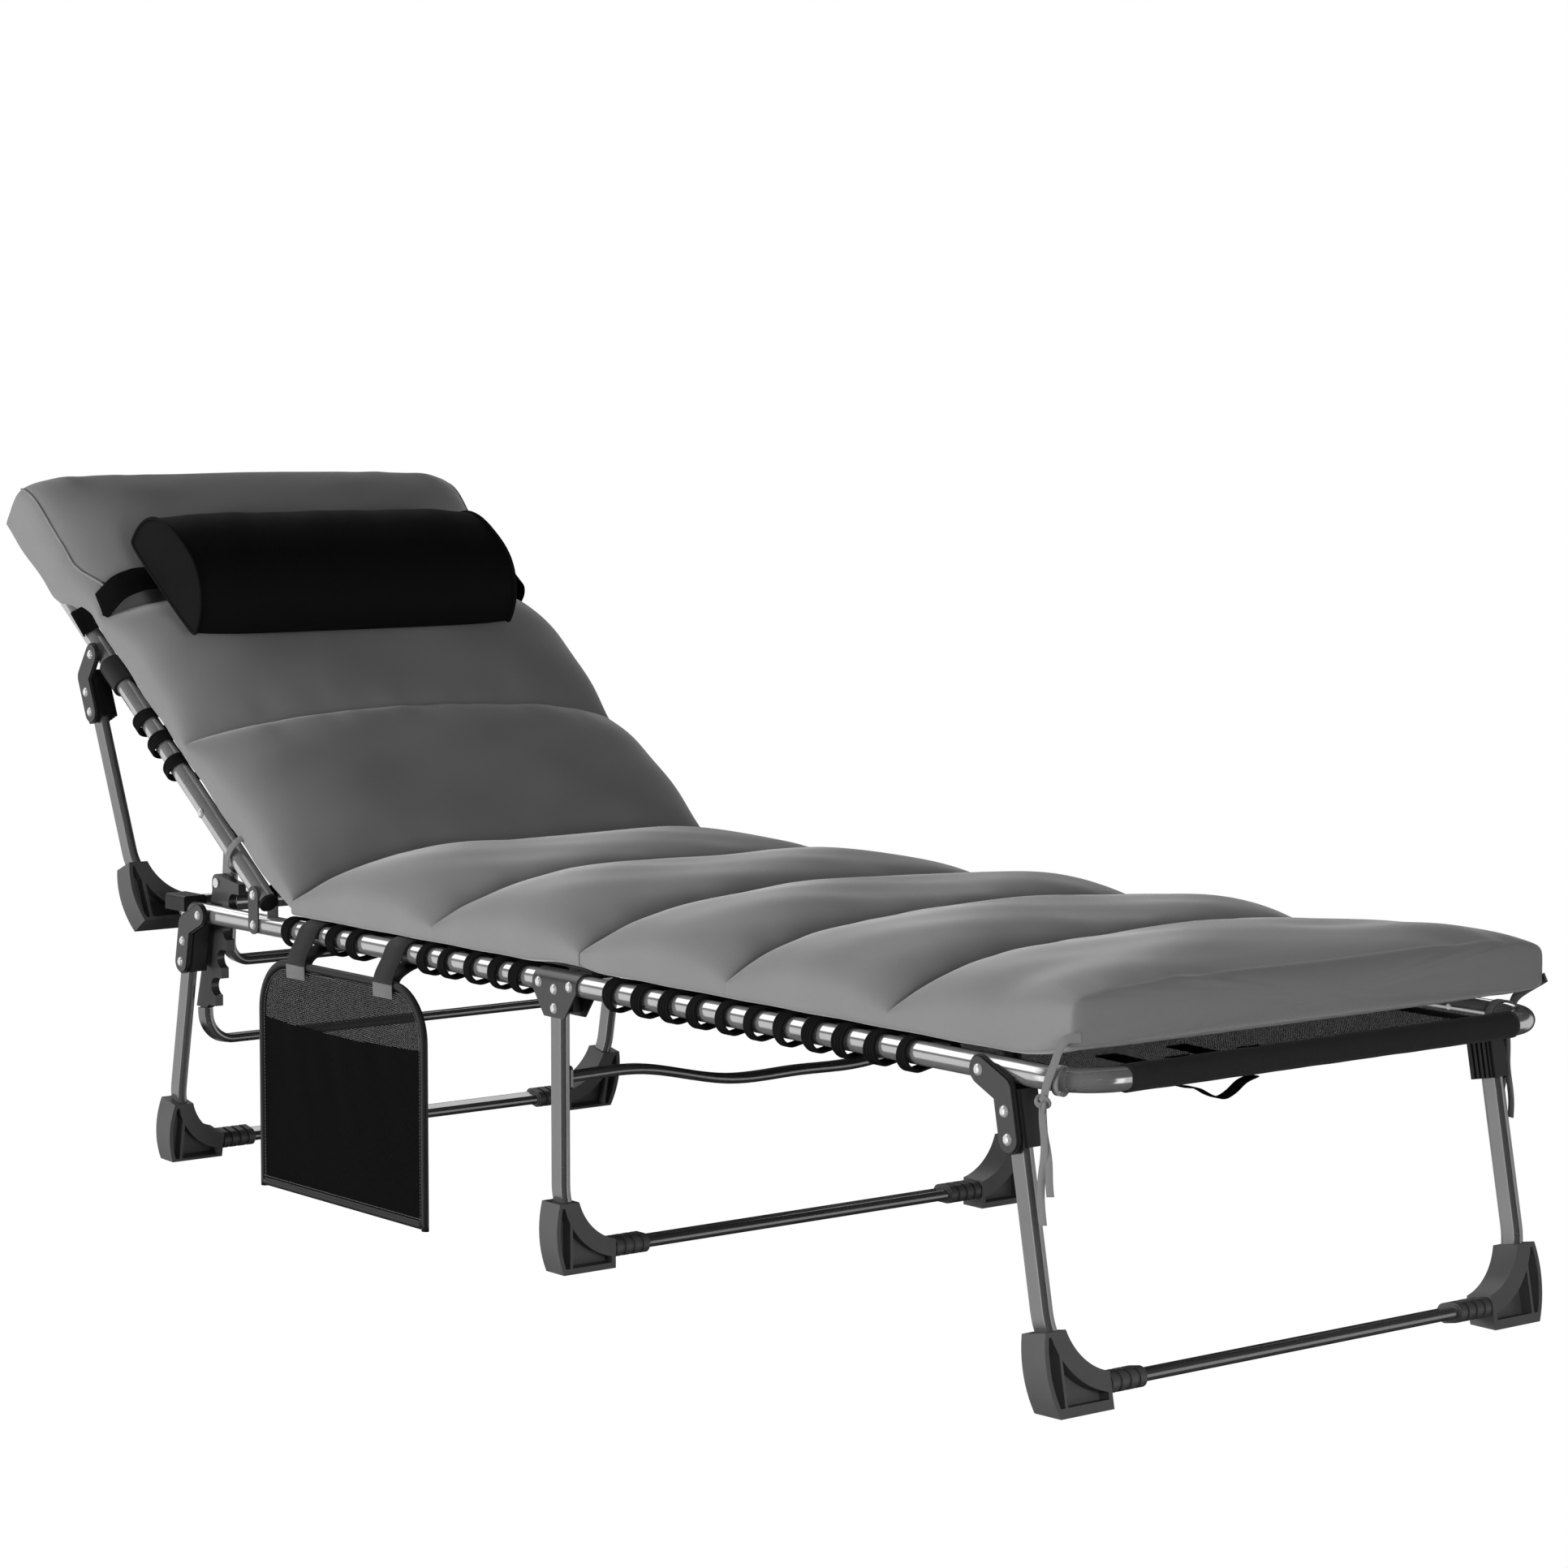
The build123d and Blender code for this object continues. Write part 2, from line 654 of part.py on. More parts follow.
# Saddles that seat the racks on the rails' inner faces.
saddle_x = rear_pivot_x - 21.0
with BuildPart() as saddles:
    for sign in (-1, 1):
        with BuildSketch(side_plane.offset(sign * (rack_y + rack_thick / 2))):
            with Locations((saddle_x, rail_z)):
                RectangleRounded(18.0, 18.0, 3.0)
        extrude(amount=sign * 8.0)
    with BuildSketch(Plane.YZ.offset(saddle_x - 20.0)):
        for sign in (-1, 1):
            with Locations((sign * rail_y, rail_z)):
                Circle(rail_r + pin_gap)
    extrude(amount=40.0, mode=Mode.SUBTRACT)
    with BuildSketch(side_plane.offset(-2 * rail_y)):
        with Locations((saddle_x, rail_z)):
            Circle(rivet_r + pin_gap)
    extrude(amount=4 * rail_y, mode=Mode.SUBTRACT)
save(saddles.part, "rack_saddles")

# Flush studs hold the racks to the rails. The upper rivets have domed outer heads.
rack_in = rack_y - rack_thick / 2
with BuildPart() as studs:
    for sign in (-1, 1):
        with BuildSketch(side_plane.offset(sign * rack_in)):
            with Locations((saddle_x, rail_z)):
                Circle(rivet_r)
        extrude(amount=sign * (rail_y - rack_in - 5.0))
        with BuildSketch(side_plane.offset(sign * (rail_y - rail_r + leg_wall + 1.8))):
            with Locations((saddle_x, rail_z)):
                Circle(dome_r - 1.5)
        extrude(amount=sign * 3.0)
        with BuildSketch(side_plane.offset(sign * rack_in)):
            with Locations((rack_top_x, rack_top_z)):
                Circle(rivet_r)
        extrude(amount=sign * (rack_thick + 1.4))
        with BuildSketch(side_plane.offset(sign * (rack_in + rack_thick))):
            with Locations((rack_top_x, rack_top_z)):
                Circle(dome_r)
        extrude(amount=sign * 1.6)
save(studs.part, "rack_rivets")

# Rack frame: the flat oval U under the head end, plugged onto the racks' tails.
frame_low = Vector(bar_seat_x - 28.0, 0, rack_bar_z)
frame_rise = Vector(tail_x + 9.0, 0, tail_z - 1.2) - frame_low
frame_top = frame_rise.length
frame_plane = Plane(origin=frame_low, x_dir=(0, 1, 0), z_dir=Vector(0, 1, 0).cross(frame_rise))
frame_points = [(-rack_y, frame_top), (-rack_y, 0), (rack_y, 0), (rack_y, frame_top)]
frame_tube = bent_tube(frame_plane, frame_points, rack_frame_bend, leg_width, rack_thick, leg_wall)
save(frame_tube, "rack_frame_tube")

plug_plane = Plane(origin=frame_low, x_dir=(0, 1, 0), z_dir=frame_rise)
with BuildPart() as plugs:
    with BuildSketch(plug_plane.offset(frame_top - 6.0)):
        for sign in (-1, 1):
            with Locations((sign * rack_y, 0)):
                Rectangle(rack_thick - 2 * leg_wall - 0.2, leg_width - 14.0)
    extrude(amount=9.0)
    add(racks.part, mode=Mode.SUBTRACT)
save(plugs.part, "rack_frame_plugs")

# ---- Link plates that carry the back ----
link_points = ((link_x, rail_z), (link_x, link_z))
link_out = rail_y + rail_r + part_gap
with BuildPart() as links:
    for sign in (-1, 1):
        for start in (link_out, 2 * rail_y - link_out - gusset_steel):
            with BuildSketch(side_plane.offset(sign * start)):
                with Locations((link_x, rail_z + link_rise / 2)):
                    SlotCenterToCenter(link_rise, 2 * link_half, rotation=90)
                with Locations(*link_points):
                    Circle(rivet_r + pin_gap, mode=Mode.SUBTRACT)
            extrude(amount=sign * gusset_steel)
save(links.part, "link_plates")
link_face = link_out + gusset_steel
link_in = 2 * rail_y - link_face
link_tail = (link_in - 1.3, link_in, dome_r)
save(rivet_group([(side_plane, link_points, link_face, link_in - 1.4, link_tail)]), "link_rivets")

# ---- Back frame ----
back_lie = Plane(origin=back_plane.origin, x_dir=back_plane.x_dir, z_dir=back_plane.y_dir)
back_tube = bent_tube(
    back_lie, rail_points(back_end_u, back_top_u), corner_bend, rail_d, rail_d, rail_wall, True
)
back_holes = ((0, 0), (head_pivot_u, 0), (support_u, 0))
back_tube = cross_holes(
    back_tube, back_plane, back_holes, rivet_r + pin_gap, rail_y - 15.0, rail_y + 15.0
)
save(back_tube, "back_frame")

cap_plane = Plane(origin=back_plane.origin, x_dir=(0, -1, 0), z_dir=back_plane.x_dir)
with BuildPart() as caps:
    with BuildSketch(cap_plane.offset(back_end_u - cap_length)):
        for sign in (-1, 1):
            with Locations((sign * rail_y, 0)):
                Circle(rail_r)
    extrude(amount=cap_length)
    with BuildSketch(cap_plane.offset(back_end_u)):
        for sign in (-1, 1):
            with Locations((sign * rail_y, 0)):
                Circle(rail_r - rail_wall - pin_gap)
    extrude(amount=6.0)
save(caps.part, "back_end_caps")

with BuildPart() as grips:
    with BuildSketch(cap_plane.offset(head_pivot_u - 60.0)):
        for sign in (-1, 1):
            with Locations((sign * rail_y, 0)):
                Circle(rail_r + 4.0)
                Circle(rail_r + pin_gap, mode=Mode.SUBTRACT)
    extrude(amount=40.0)
save(grips.part, "back_grip_sleeves")

# ---- Back support: a flat oval U hung on the back rails between the racks ----
support_pin = back_plane.from_local_coords((support_u, 0, 0))
bar_point = Vector(bar_seat_x, 0, bar_seat_z)
support_rise = support_pin - bar_point
support_plane = Plane(origin=bar_point, x_dir=(0, 1, 0), z_dir=Vector(0, 1, 0).cross(support_rise))
support_top = support_rise.length
support_points = [
    (-support_y, support_top),
    (-support_y, 0),
    (support_y, 0),
    (support_y, support_top),
]
with BuildLine(support_plane) as support_path:
    FilletPolyline(*support_points, radius=24.0)
support_wire = support_path.wires()[0]
support_side = Plane(
    origin=support_pin, x_dir=Vector(0, 1, 0).cross(support_rise), z_dir=(0, 1, 0)
)
with BuildPart() as support:
    with BuildSketch(Plane(origin=support_wire @ 0, x_dir=support_plane.z_dir, z_dir=support_wire % 0)):
        SlotOverall(leg_width, support_thick)
        SlotOverall(leg_width - 2 * leg_wall, support_thick - 2 * leg_wall, mode=Mode.SUBTRACT)
    sweep(path=support_wire)
    for sign in (-1, 1):
        with BuildSketch(support_side.offset(sign * (support_y - support_thick / 2))):
            Circle(leg_width / 2)
        extrude(amount=sign * support_thick)
        with BuildSketch(support_side.offset(sign * (support_y - 10.0))):
            Circle(rivet_r + pin_gap)
        extrude(amount=sign * 20.0, mode=Mode.SUBTRACT)
save(support.part, "support_frame_tube")

support_in = support_y - support_thick / 2
pin_tail = (support_in - 1.4, support_in - 0.1, dome_r)
support_rows = [(back_plane, ((support_u, 0),), rail_y + rail_r, support_in - 1.6, pin_tail)]
save(rivet_group(support_rows), "support_pins")

# ---- Mesh bed ----
mesh_z = rail_z - 2.0
hem_r = hem_d / 2
foot_loop_x = (91.0, 138.0, 182.0, 226.0, 270.0, 313.0, 358.0, 401.0, 445.0, 490.0, 535.0)
head_loop_x = (-502.0, -412.0, -371.0, -236.0, -198.0, -151.0, -107.0, -69.0)
back_loop_u = (220.0, 261.0, 301.0)


def mesh_panel(plane, start, end, places):
    # A taut sheet with a rod in each of its four hems, slit where the loops pass through.
    with BuildPart() as panel:
        with BuildSketch(plane.offset(-mesh_thick / 2)):
            with Locations(((start + end) / 2, 0)):
                Rectangle(end - start - hem_d, 2 * hem_y)
            slits = [(place + loop_width / 2, sign * (hem_y - 6.4)) for place in places for sign in (-1, 1)]
            with Locations(*slits):
                Rectangle(loop_width + 0.6, 4.6, mode=Mode.SUBTRACT)
        extrude(amount=mesh_thick)
        across = Plane(origin=plane.origin, x_dir=plane.y_dir, z_dir=plane.x_dir)
        with BuildSketch(across.offset(start)):
            with Locations((-hem_y, 0), (hem_y, 0)):
                RegularPolygon(hem_r, 10)
        extrude(amount=end - start)
        along = Plane(origin=plane.origin, x_dir=plane.x_dir, z_dir=-plane.y_dir)
        with BuildSketch(along.offset(-hem_y)):
            with Locations((start + hem_r, 0), (end - hem_r, 0)):
                RegularPolygon(hem_r, 10)
        extrude(amount=2 * hem_y)
    return panel.part


mesh_plane = Plane(origin=(0, 0, mesh_z), x_dir=(1, 0, 0), z_dir=(0, 0, 1))
save(mesh_panel(mesh_plane, mesh_split, foot_end_x - 16.4, foot_loop_x), "foot_mesh")
save(mesh_panel(mesh_plane, head_mesh_start, -mesh_split, head_loop_x), "head_mesh")
back_mesh_plane = Plane(
    origin=back_plane.from_local_coords((0, -8.0, 0)), x_dir=back_lie.x_dir, z_dir=back_lie.z_dir
)
save(mesh_panel(back_mesh_plane, 86.0, back_top_u - 12.0, back_loop_u), "back_mesh")


def sleeve(plane, end_u, half_length, name):
    # Cloth sleeve round the end crossbar, stitched to the mesh.
    with BuildPart() as tube:
        with BuildSketch(Plane(origin=plane.origin, x_dir=plane.x_dir, z_dir=-plane.y_dir).offset(-half_length)):
            with Locations((end_u, 0)):
                Circle(rail_r + part_gap + sleeve_thick)
                Circle(rail_r + part_gap, mode=Mode.SUBTRACT)
        extrude(amount=2 * half_length)
    save(tube.part, name)


sleeve(rail_plane, foot_end_x, 236.0, "foot_sleeve")
sleeve(back_lie, back_top_u, 236.0, "back_sleeve")


def loop_group(plane, drop, places, name):
    # Elastic loops between the rail and the hem rod: a band round both.
    reach = rail_r + part_gap + 0.5
    with BuildPart() as bands:
        for place in places:
            with BuildSketch(Plane(origin=plane.origin, x_dir=plane.y_dir, z_dir=plane.x_dir).offset(place)):
                for sign in (-1, 1):
                    for grow, mode in ((loop_thick, Mode.ADD), (0.0, Mode.SUBTRACT)):
                        size = reach + grow
                        low = hem_r + 0.5 + grow
                        Polygon(
                            (sign * (rail_y + 0.41 * size), size),
                            (sign * (rail_y + size), 0.41 * size),
                            (sign * (rail_y + size), -0.41 * size),
                            (sign * (rail_y + 0.41 * size), -size),
                            (sign * (rail_y - 0.41 * size), -size),
                            (sign * (hem_y - low), -drop - low),
                            (sign * (hem_y - low), -drop + low),
                            (sign * (rail_y - 0.41 * size), size),
                            align=None,
                            mode=mode,
                        )
            extrude(amount=loop_width)
    save(bands.part, name)


loop_group(rail_plane, 2.0, foot_loop_x, "foot_loops")
loop_group(rail_plane, 2.0, head_loop_x, "head_loops")
loop_group(back_lie, 8.0, back_loop_u, "back_loops")

# Webbing on the foot sleeve: two straps and a storage loop.
sleeve_out = rail_r + part_gap + sleeve_thick
with BuildPart() as webbing:
    for place in (-178.0, -92.0):
        with BuildSketch(side_plane.offset(-place - 12.0)):
            with Locations((foot_end_x, rail_z)):
                Circle(sleeve_out + 1.0)
                Circle(sleeve_out + 0.1, mode=Mode.SUBTRACT)
            with Locations((foot_end_x - 30.0, rail_z)):
                Rectangle(50.0, 60.0, mode=Mode.SUBTRACT)
        extrude(amount=24.0)
    with BuildSketch(Plane.YZ.offset(foot_end_x - 6.0)):
        with Locations((-135.0, rail_z - sleeve_out)):
            Circle(16.0)
            Circle(14.4, mode=Mode.SUBTRACT)
        with Locations((-135.0, rail_z)):
            Rectangle(60.0, 2 * sleeve_out + 0.2, mode=Mode.SUBTRACT)
    extrude(amount=12.0)
save(webbing.part, "foot_webbing")


# ---- Pads ----
def pad_blank(side, start, end, valleys, base, top, dip):
    # Side outline with a crest between each pair of seams, trimmed to a rounded cross section.
    knots = [(start + 30.0, top - 6.0)] + [(v, dip) for v in valleys] + [(end - 30.0, top - 6.0)]
    with BuildLine() as outline:
        Line((start, base), (end, base))
        Line((end, base), (end, top - 38.0))
        ThreePointArc((end, top - 38.0), (end - 9.0, top - 15.0), (end - 30.0, top - 6.0))
        for left, right in zip(knots, knots[1:]):
            ThreePointArc(left, ((left[0] + right[0]) / 2, top), right)
        ThreePointArc((start + 30.0, top - 6.0), (start + 9.0, top - 15.0), (start, top - 38.0))
        Line((start, top - 38.0), (start, base))
    half = pad_half_width
    ends = Plane(origin=side.origin, x_dir=side.z_dir, z_dir=-side.x_dir)
    with BuildLine() as across:
        Polyline((-half, top - 34.0), (-half, base + 15.0), (-half + 30.0, base))
        Line((-half + 30.0, base), (half - 30.0, base))
        Polyline((half - 30.0, base), (half, base + 15.0), (half, top - 34.0))
        ThreePointArc((half, top - 34.0), (half - 9.0, top - 10.0), (half - 32.0, top + 1.0))
        Line((half - 32.0, top + 1.0), (-half + 32.0, top + 1.0))
        ThreePointArc((-half + 32.0, top + 1.0), (-half + 9.0, top - 10.0), (-half, top - 34.0))
    with BuildPart() as blank:
        with BuildSketch(side):
            make_face(outline.edges())
        extrude(amount=half + 1.0, both=True)
        with BuildSketch(ends.offset(-2000.0)):
            make_face(across.edges())
        extrude(amount=4000.0, mode=Mode.INTERSECT)
    return blank.part


pad_base = rail_r + pad_lift
bed_side = Plane(origin=(0, 0, rail_z), x_dir=(1, 0, 0), z_dir=(0, -1, 0))
pad_top = 95.0
pad_dip = 77.0
foot_pad_end = foot_end_x + pad_past_crossbar
foot_seams = (pad_split + pad_cell, pad_split + 2 * pad_cell)
seat_seams = (pad_split - pad_end_cell,)
foot_pad = pad_blank(bed_side, pad_split + 2.0, foot_pad_end, foot_seams, pad_base, pad_top, pad_dip)
save(foot_pad, "foot_pad")
seat_blank = pad_blank(bed_side, seat_pad_start, pad_split - 2.0, seat_seams, pad_base, pad_top, pad_dip)
with BuildPart() as seat_pad:
    add(seat_blank)
    with BuildSketch(side_plane.offset(-2 * rail_y)):
        with Locations((link_x, link_z)):
            Circle(fold_r + part_gap)
        with Locations((link_x, rail_z + 20.0)):
            Rectangle(2 * fold_r, 60.0)
    extrude(amount=4 * rail_y, mode=Mode.SUBTRACT)
save(seat_pad.part, "seat_pad")

# The quarter-round fold of the pad at the back's hinge, inside the sweep of the back pad.
with BuildPart() as fold:
    with BuildSketch(side_plane.offset(-fold_half)):
        with BuildLine():
            CenterArc((link_x, link_z), fold_r, 0, 90)
            Line((link_x, link_z + fold_r), (link_x, rail_z + pad_base))
            Line((link_x, rail_z + pad_base), (link_x + fold_r, rail_z + pad_base))
            Line((link_x + fold_r, rail_z + pad_base), (link_x + fold_r, link_z))
        make_face()
    extrude(amount=2 * fold_half)
save(fold.part, "pad_fold")

back_blank = pad_blank(back_plane, back_pad_start, back_pad_end, (221.0, 450.0), 13.0, 90.0, 74.0)

# The hood at the back pad's head end, which slips over the frame's top corners.
hood_length = back_pad_end - hood_start
hood_inner = rail_y + rail_r + hood_gap
hood_reach = back_top_u + rail_r + 3.0 - hood_start + 1.0
with BuildPart() as back_pad:
    add(back_blank)
    with BuildSketch(back_lie.offset(-hood_drop)):
        with Locations((hood_start + hood_length / 2, 0)):
            Rectangle(hood_length, 2 * hood_half)
        with Locations((hood_start - 1.0 + hood_reach / 2, 0)):
            Rectangle(hood_reach, 2 * hood_inner, mode=Mode.SUBTRACT)
    extrude(amount=hood_drop + 14.0)
    with BuildSketch(back_lie.offset(13.0)):
        with Locations((hood_start + hood_length / 2, 0)):
            Rectangle(hood_length, 2 * hood_half)
    extrude(amount=hood_top - 13.0)
save(back_pad.part, "back_pad")

# ---- Pillow and its strap ----
strap_n = 91.3
with BuildPart() as strap:
    with BuildSketch(cap_plane.offset(strap_u - strap_width / 2)):
        for sign in (-1, 1):
            Polygon(
                (0, strap_n),
                (0, strap_n + strap_thick),
                (sign * 256.5, strap_n + strap_thick + 0.4),
                (sign * 275.0, strap_n - 1.5),
                (sign * 288.8, 76.0),
                (sign * 293.9, 57.0),
                (sign * 293.9, 21.0),
                (sign * (rail_y + rail_r + 2.4), 6.5),
                (sign * (rail_y + rail_r + 2.4), -3.0),
                (sign * (rail_y + rail_r + 0.4), -3.0),
                (sign * (rail_y + rail_r + 0.4), 5.5),
                (sign * 291.8, 20.0),
                (sign * 291.8, 56.9),
                (sign * 287.0, 74.9),
                (sign * 273.8, 88.0),
                (sign * 256.0, strap_n + 0.4),
                align=None,
            )
    extrude(amount=strap_width)
save(strap.part, "pillow_strap")

pillow_base = strap_n + strap_thick + 0.5 + part_gap
with BuildPart() as pillow:
    with BuildSketch(back_plane.offset(-pillow_half_length - pillow_aside)):
        with BuildLine():
            Line((pillow_u - pillow_height / 2, pillow_base), (pillow_u + pillow_height / 2, pillow_base))
            ThreePointArc(
                (pillow_u + pillow_height / 2, pillow_base),
                (pillow_u, pillow_base + pillow_depth),
                (pillow_u - pillow_height / 2, pillow_base),
            )
        make_face()
    extrude(amount=2 * pillow_half_length)
save(pillow.part, "pillow")

# ---- Side pocket ----
pocket_side = side_plane.offset(pocket_y)
with BuildPart() as pocket:
    with BuildSketch(pocket_side):
        with Locations(((pocket_left + pocket_right) / 2, (pocket_top + pocket_bottom) / 2)):
            RectangleRounded(pocket_right - pocket_left, pocket_top - pocket_bottom, pocket_corner)
        with Locations(((pocket_left + pocket_right) / 2, pocket_bottom + 60.0)):
            RectangleRounded(pocket_right - pocket_left, 120.0, 12.0)
    extrude(amount=pocket_thick)
save(pocket.part, "side_pocket_bag")

hang_r = rail_r + part_gap
with BuildPart() as hangers:
    for place in (-457.0, -286.0):
        with BuildSketch(Plane.YZ.offset(place - hanger_width / 2)):
            with Locations((-rail_y, rail_z)):
                Circle(hang_r + strap_thick)
            Polygon(
                (-rail_y - 6.0, rail_z + 9.0),
                (-rail_y - hang_r - strap_thick, rail_z + 4.0),
                (-pocket_y, rail_z - 14.0),
                (-pocket_y, pocket_top - 24.0),
                (-pocket_y + strap_thick, pocket_top - 24.0),
                (-pocket_y + strap_thick, rail_z - 16.0),
                (-rail_y - hang_r, rail_z - 4.0),
                align=None,
            )
            with Locations((-rail_y, rail_z)):
                Circle(hang_r, mode=Mode.SUBTRACT)
        extrude(amount=hanger_width)
save(hangers.part, "pocket_hangers")
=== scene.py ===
import json
import math
import bpy
import numpy as np
from mathutils import Matrix


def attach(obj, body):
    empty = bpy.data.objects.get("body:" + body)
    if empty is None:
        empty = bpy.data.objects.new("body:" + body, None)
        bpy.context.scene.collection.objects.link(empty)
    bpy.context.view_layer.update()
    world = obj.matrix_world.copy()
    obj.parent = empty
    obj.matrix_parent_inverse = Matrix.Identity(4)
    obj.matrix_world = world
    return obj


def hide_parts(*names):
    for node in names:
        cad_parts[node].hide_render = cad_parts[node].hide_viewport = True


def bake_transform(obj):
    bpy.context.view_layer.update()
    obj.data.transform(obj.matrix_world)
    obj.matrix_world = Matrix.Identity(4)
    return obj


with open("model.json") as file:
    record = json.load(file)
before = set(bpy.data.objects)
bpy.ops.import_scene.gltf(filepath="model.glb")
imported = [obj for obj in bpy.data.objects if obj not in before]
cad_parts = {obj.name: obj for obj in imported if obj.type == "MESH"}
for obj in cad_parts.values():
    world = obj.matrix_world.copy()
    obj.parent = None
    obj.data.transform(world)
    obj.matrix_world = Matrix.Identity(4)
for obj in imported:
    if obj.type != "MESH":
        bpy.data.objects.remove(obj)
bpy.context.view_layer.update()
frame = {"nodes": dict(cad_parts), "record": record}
print("frame loaded")

rail = {"half": 0.293, "z": 0.290}  # the side rails' axes
back = {"x": -0.571, "z": 0.323, "angle": math.radians(35.5)}  # the back's pivot and its lean at rest
backDir = np.array([-math.cos(back["angle"]), 0.0, math.sin(back["angle"])])
backOut = np.array([math.sin(back["angle"]), 0.0, math.cos(back["angle"])])
backPivot = np.array([back["x"], 0.0, back["z"]])
acrossDir = np.array([0.0, 1.0, 0.0])


def onBed(s, y, h):
    # s along the bed, y across it, h above the rails' axis
    return np.stack([s, y + 0 * s, rail["z"] + h + 0 * s], axis=-1)


def onBack(s, y, h):
    # s up the back from its pivot, y across it, h out of it
    return backPivot + s[..., None] * backDir + y[..., None] * acrossDir + h[..., None] * backOut


def addPiece(name, verts, faces, uv=None):
    # a new object at the origin; uv has one row for each corner of each face
    mesh = bpy.data.meshes.new(name)
    mesh.from_pydata(verts.tolist(), [], faces)
    layer = mesh.uv_layers.new(name="clothUV")
    if uv is not None:
        layer.data.foreach_set("uv", uv.ravel())
    mesh.update()
    piece = bpy.data.objects.new(name, mesh)
    bpy.context.scene.collection.objects.link(piece)
    return piece


def gridPiece(name, points, closeU=False, closeV=True, capU=False):
    # points[i, j] is a surface of two parameters; each cell of the grid is one face, and capU
    # shuts both ends with a fan. uv is the distance along each parameter.
    nu, nv = points.shape[:2]
    iu = np.arange(nu if closeU else nu - 1)
    jv = np.arange(nv if closeV else nv - 1)
    i, j = [a.ravel() for a in np.meshgrid(iu, jv, indexing="ij")]
    ii = np.stack([i, i + 1, i + 1, i], axis=1)
    jj = np.stack([j, j, j + 1, j + 1], axis=1)
    faces = ((ii % nu) * nv + (jj % nv)).tolist()
    shutU = np.concatenate([points, points[:1]]) if closeU else points
    shutV = np.concatenate([points, points[:, :1]], axis=1) if closeV else points
    stepU = np.linalg.norm(np.diff(shutU, axis=0), axis=2).mean(axis=1)
    stepV = np.linalg.norm(np.diff(shutV, axis=1), axis=2).max(axis=0)
    alongU = np.concatenate([[0], np.cumsum(stepU)])
    alongV = np.concatenate([[0], np.cumsum(stepV)])
    uv = np.stack([alongU[ii], alongV[jj]], axis=-1).reshape(-1, 2)
    verts = points.reshape(-1, 3)
    if capU:
        ring = np.arange(nv)
        for row, turn in ((0, 1), (nu - 1, -1)):
            centre = np.full(nv, len(verts))
            fan = np.stack([centre, row * nv + ring, row * nv + np.roll(ring, -1)], axis=1)[:, ::turn]
            middle = points[row].mean(axis=0)
            verts = np.vstack([verts, middle])
            local = verts[fan] - middle
            flat = np.stack([local[..., 1], local[..., 0] + local[..., 2]], axis=-1)
            uv = np.vstack([uv, flat.reshape(-1, 2)])
            faces += fan.tolist()
    piece = addPiece(name, verts, faces, uv)
    piece.data.polygons.foreach_set("use_smooth", np.full(len(faces), True))
    return piece


def selectOnly(pieces):
    for other in bpy.context.selected_objects:
        other.select_set(False)
    for piece in pieces:
        piece.select_set(True)
    bpy.context.view_layer.objects.active = pieces[0]


def faceOut(piece):
    # turns every face of a closed piece outwards
    selectOnly([piece])
    bpy.ops.object.mode_set(mode="EDIT")
    bpy.ops.mesh.select_all(action="SELECT")
    bpy.ops.mesh.normals_make_consistent(inside=False)
    bpy.ops.object.mode_set(mode="OBJECT")
    return piece


def joinPieces(name, pieces):
    # one object out of several closed meshes, all faces outwards
    selectOnly(pieces)
    if len(pieces) > 1:
        bpy.ops.object.join()
    pieces[0].name = name
    pieces[0].data.name = name
    return faceOut(pieces[0])


def subdivide(piece):
    mod = piece.modifiers.new("Subdivision", "SUBSURF")
    mod.levels = mod.render_levels = 1


def unit(v):
    # each row divided by its length
    return v / np.maximum(np.linalg.norm(v, axis=-1, keepdims=True), 1e-9)


def smooth(x):
    # 0 below 0, 1 above 1, and an S curve between
    x = np.clip(x, 0, 1)
    return x * x * (3 - 2 * x)


def runLength(line):
    # how far along a line each of its points is
    return np.concatenate([[0], np.cumsum(np.linalg.norm(np.diff(line, axis=0), axis=1))])


def sweep(path, up, profile, closed=False):
    # carries a profile of (side, up) offsets along a path; up is a fixed guide direction
    path = np.asarray(path, float)
    if closed:
        tangent = unit(np.roll(path, -1, axis=0) - np.roll(path, 1, axis=0))
    else:
        tangent = unit(np.gradient(path, axis=0))
    side = unit(np.cross(tangent, np.broadcast_to(np.asarray(up, float), path.shape)))
    lift = np.cross(side, tangent)
    profile = np.broadcast_to(profile, (len(path),) + profile.shape)
    return path[:, None] + profile[..., :1] * side[:, None] + profile[..., 1:] * lift[:, None]


def oval(wide, tall, sides):
    # profile of a flattened cord, from its two radii
    a = np.arange(sides) * 2 * math.pi / sides
    return np.stack([wide * np.cos(a), tall * np.sin(a)], axis=1)


def disc(radius):
    return oval(radius, radius, 8)


def slab(width, thick, corner=0.35):
    # profile of a flat band with softened edges
    w, t = width / 2, thick / 2
    c = corner * min(width, thick)
    return np.array([[-w + c, -t], [0, -t], [w - c, -t], [w, -t + c], [w, t - c],
                     [w - c, t], [0, t], [-w + c, t], [-w, t - c], [-w, -t + c]])


def smoothPath(knots, count):
    # Catmull-Rom curve through the knots, sampled evenly in its parameter
    k = np.asarray(knots, float)
    k = np.vstack([2 * k[0] - k[1], k, 2 * k[-1] - k[-2]])
    t = np.linspace(0, len(k) - 3 - 1e-9, count)
    i = t.astype(int)
    f = (t - i)[:, None]
    a, b, c, d = k[i], k[i + 1], k[i + 2], k[i + 3]
    return 0.5 * (2 * b + (c - a) * f + (2 * a - 5 * b + 4 * c - d) * f**2 + (3 * b - a - 3 * c + d) * f**3)


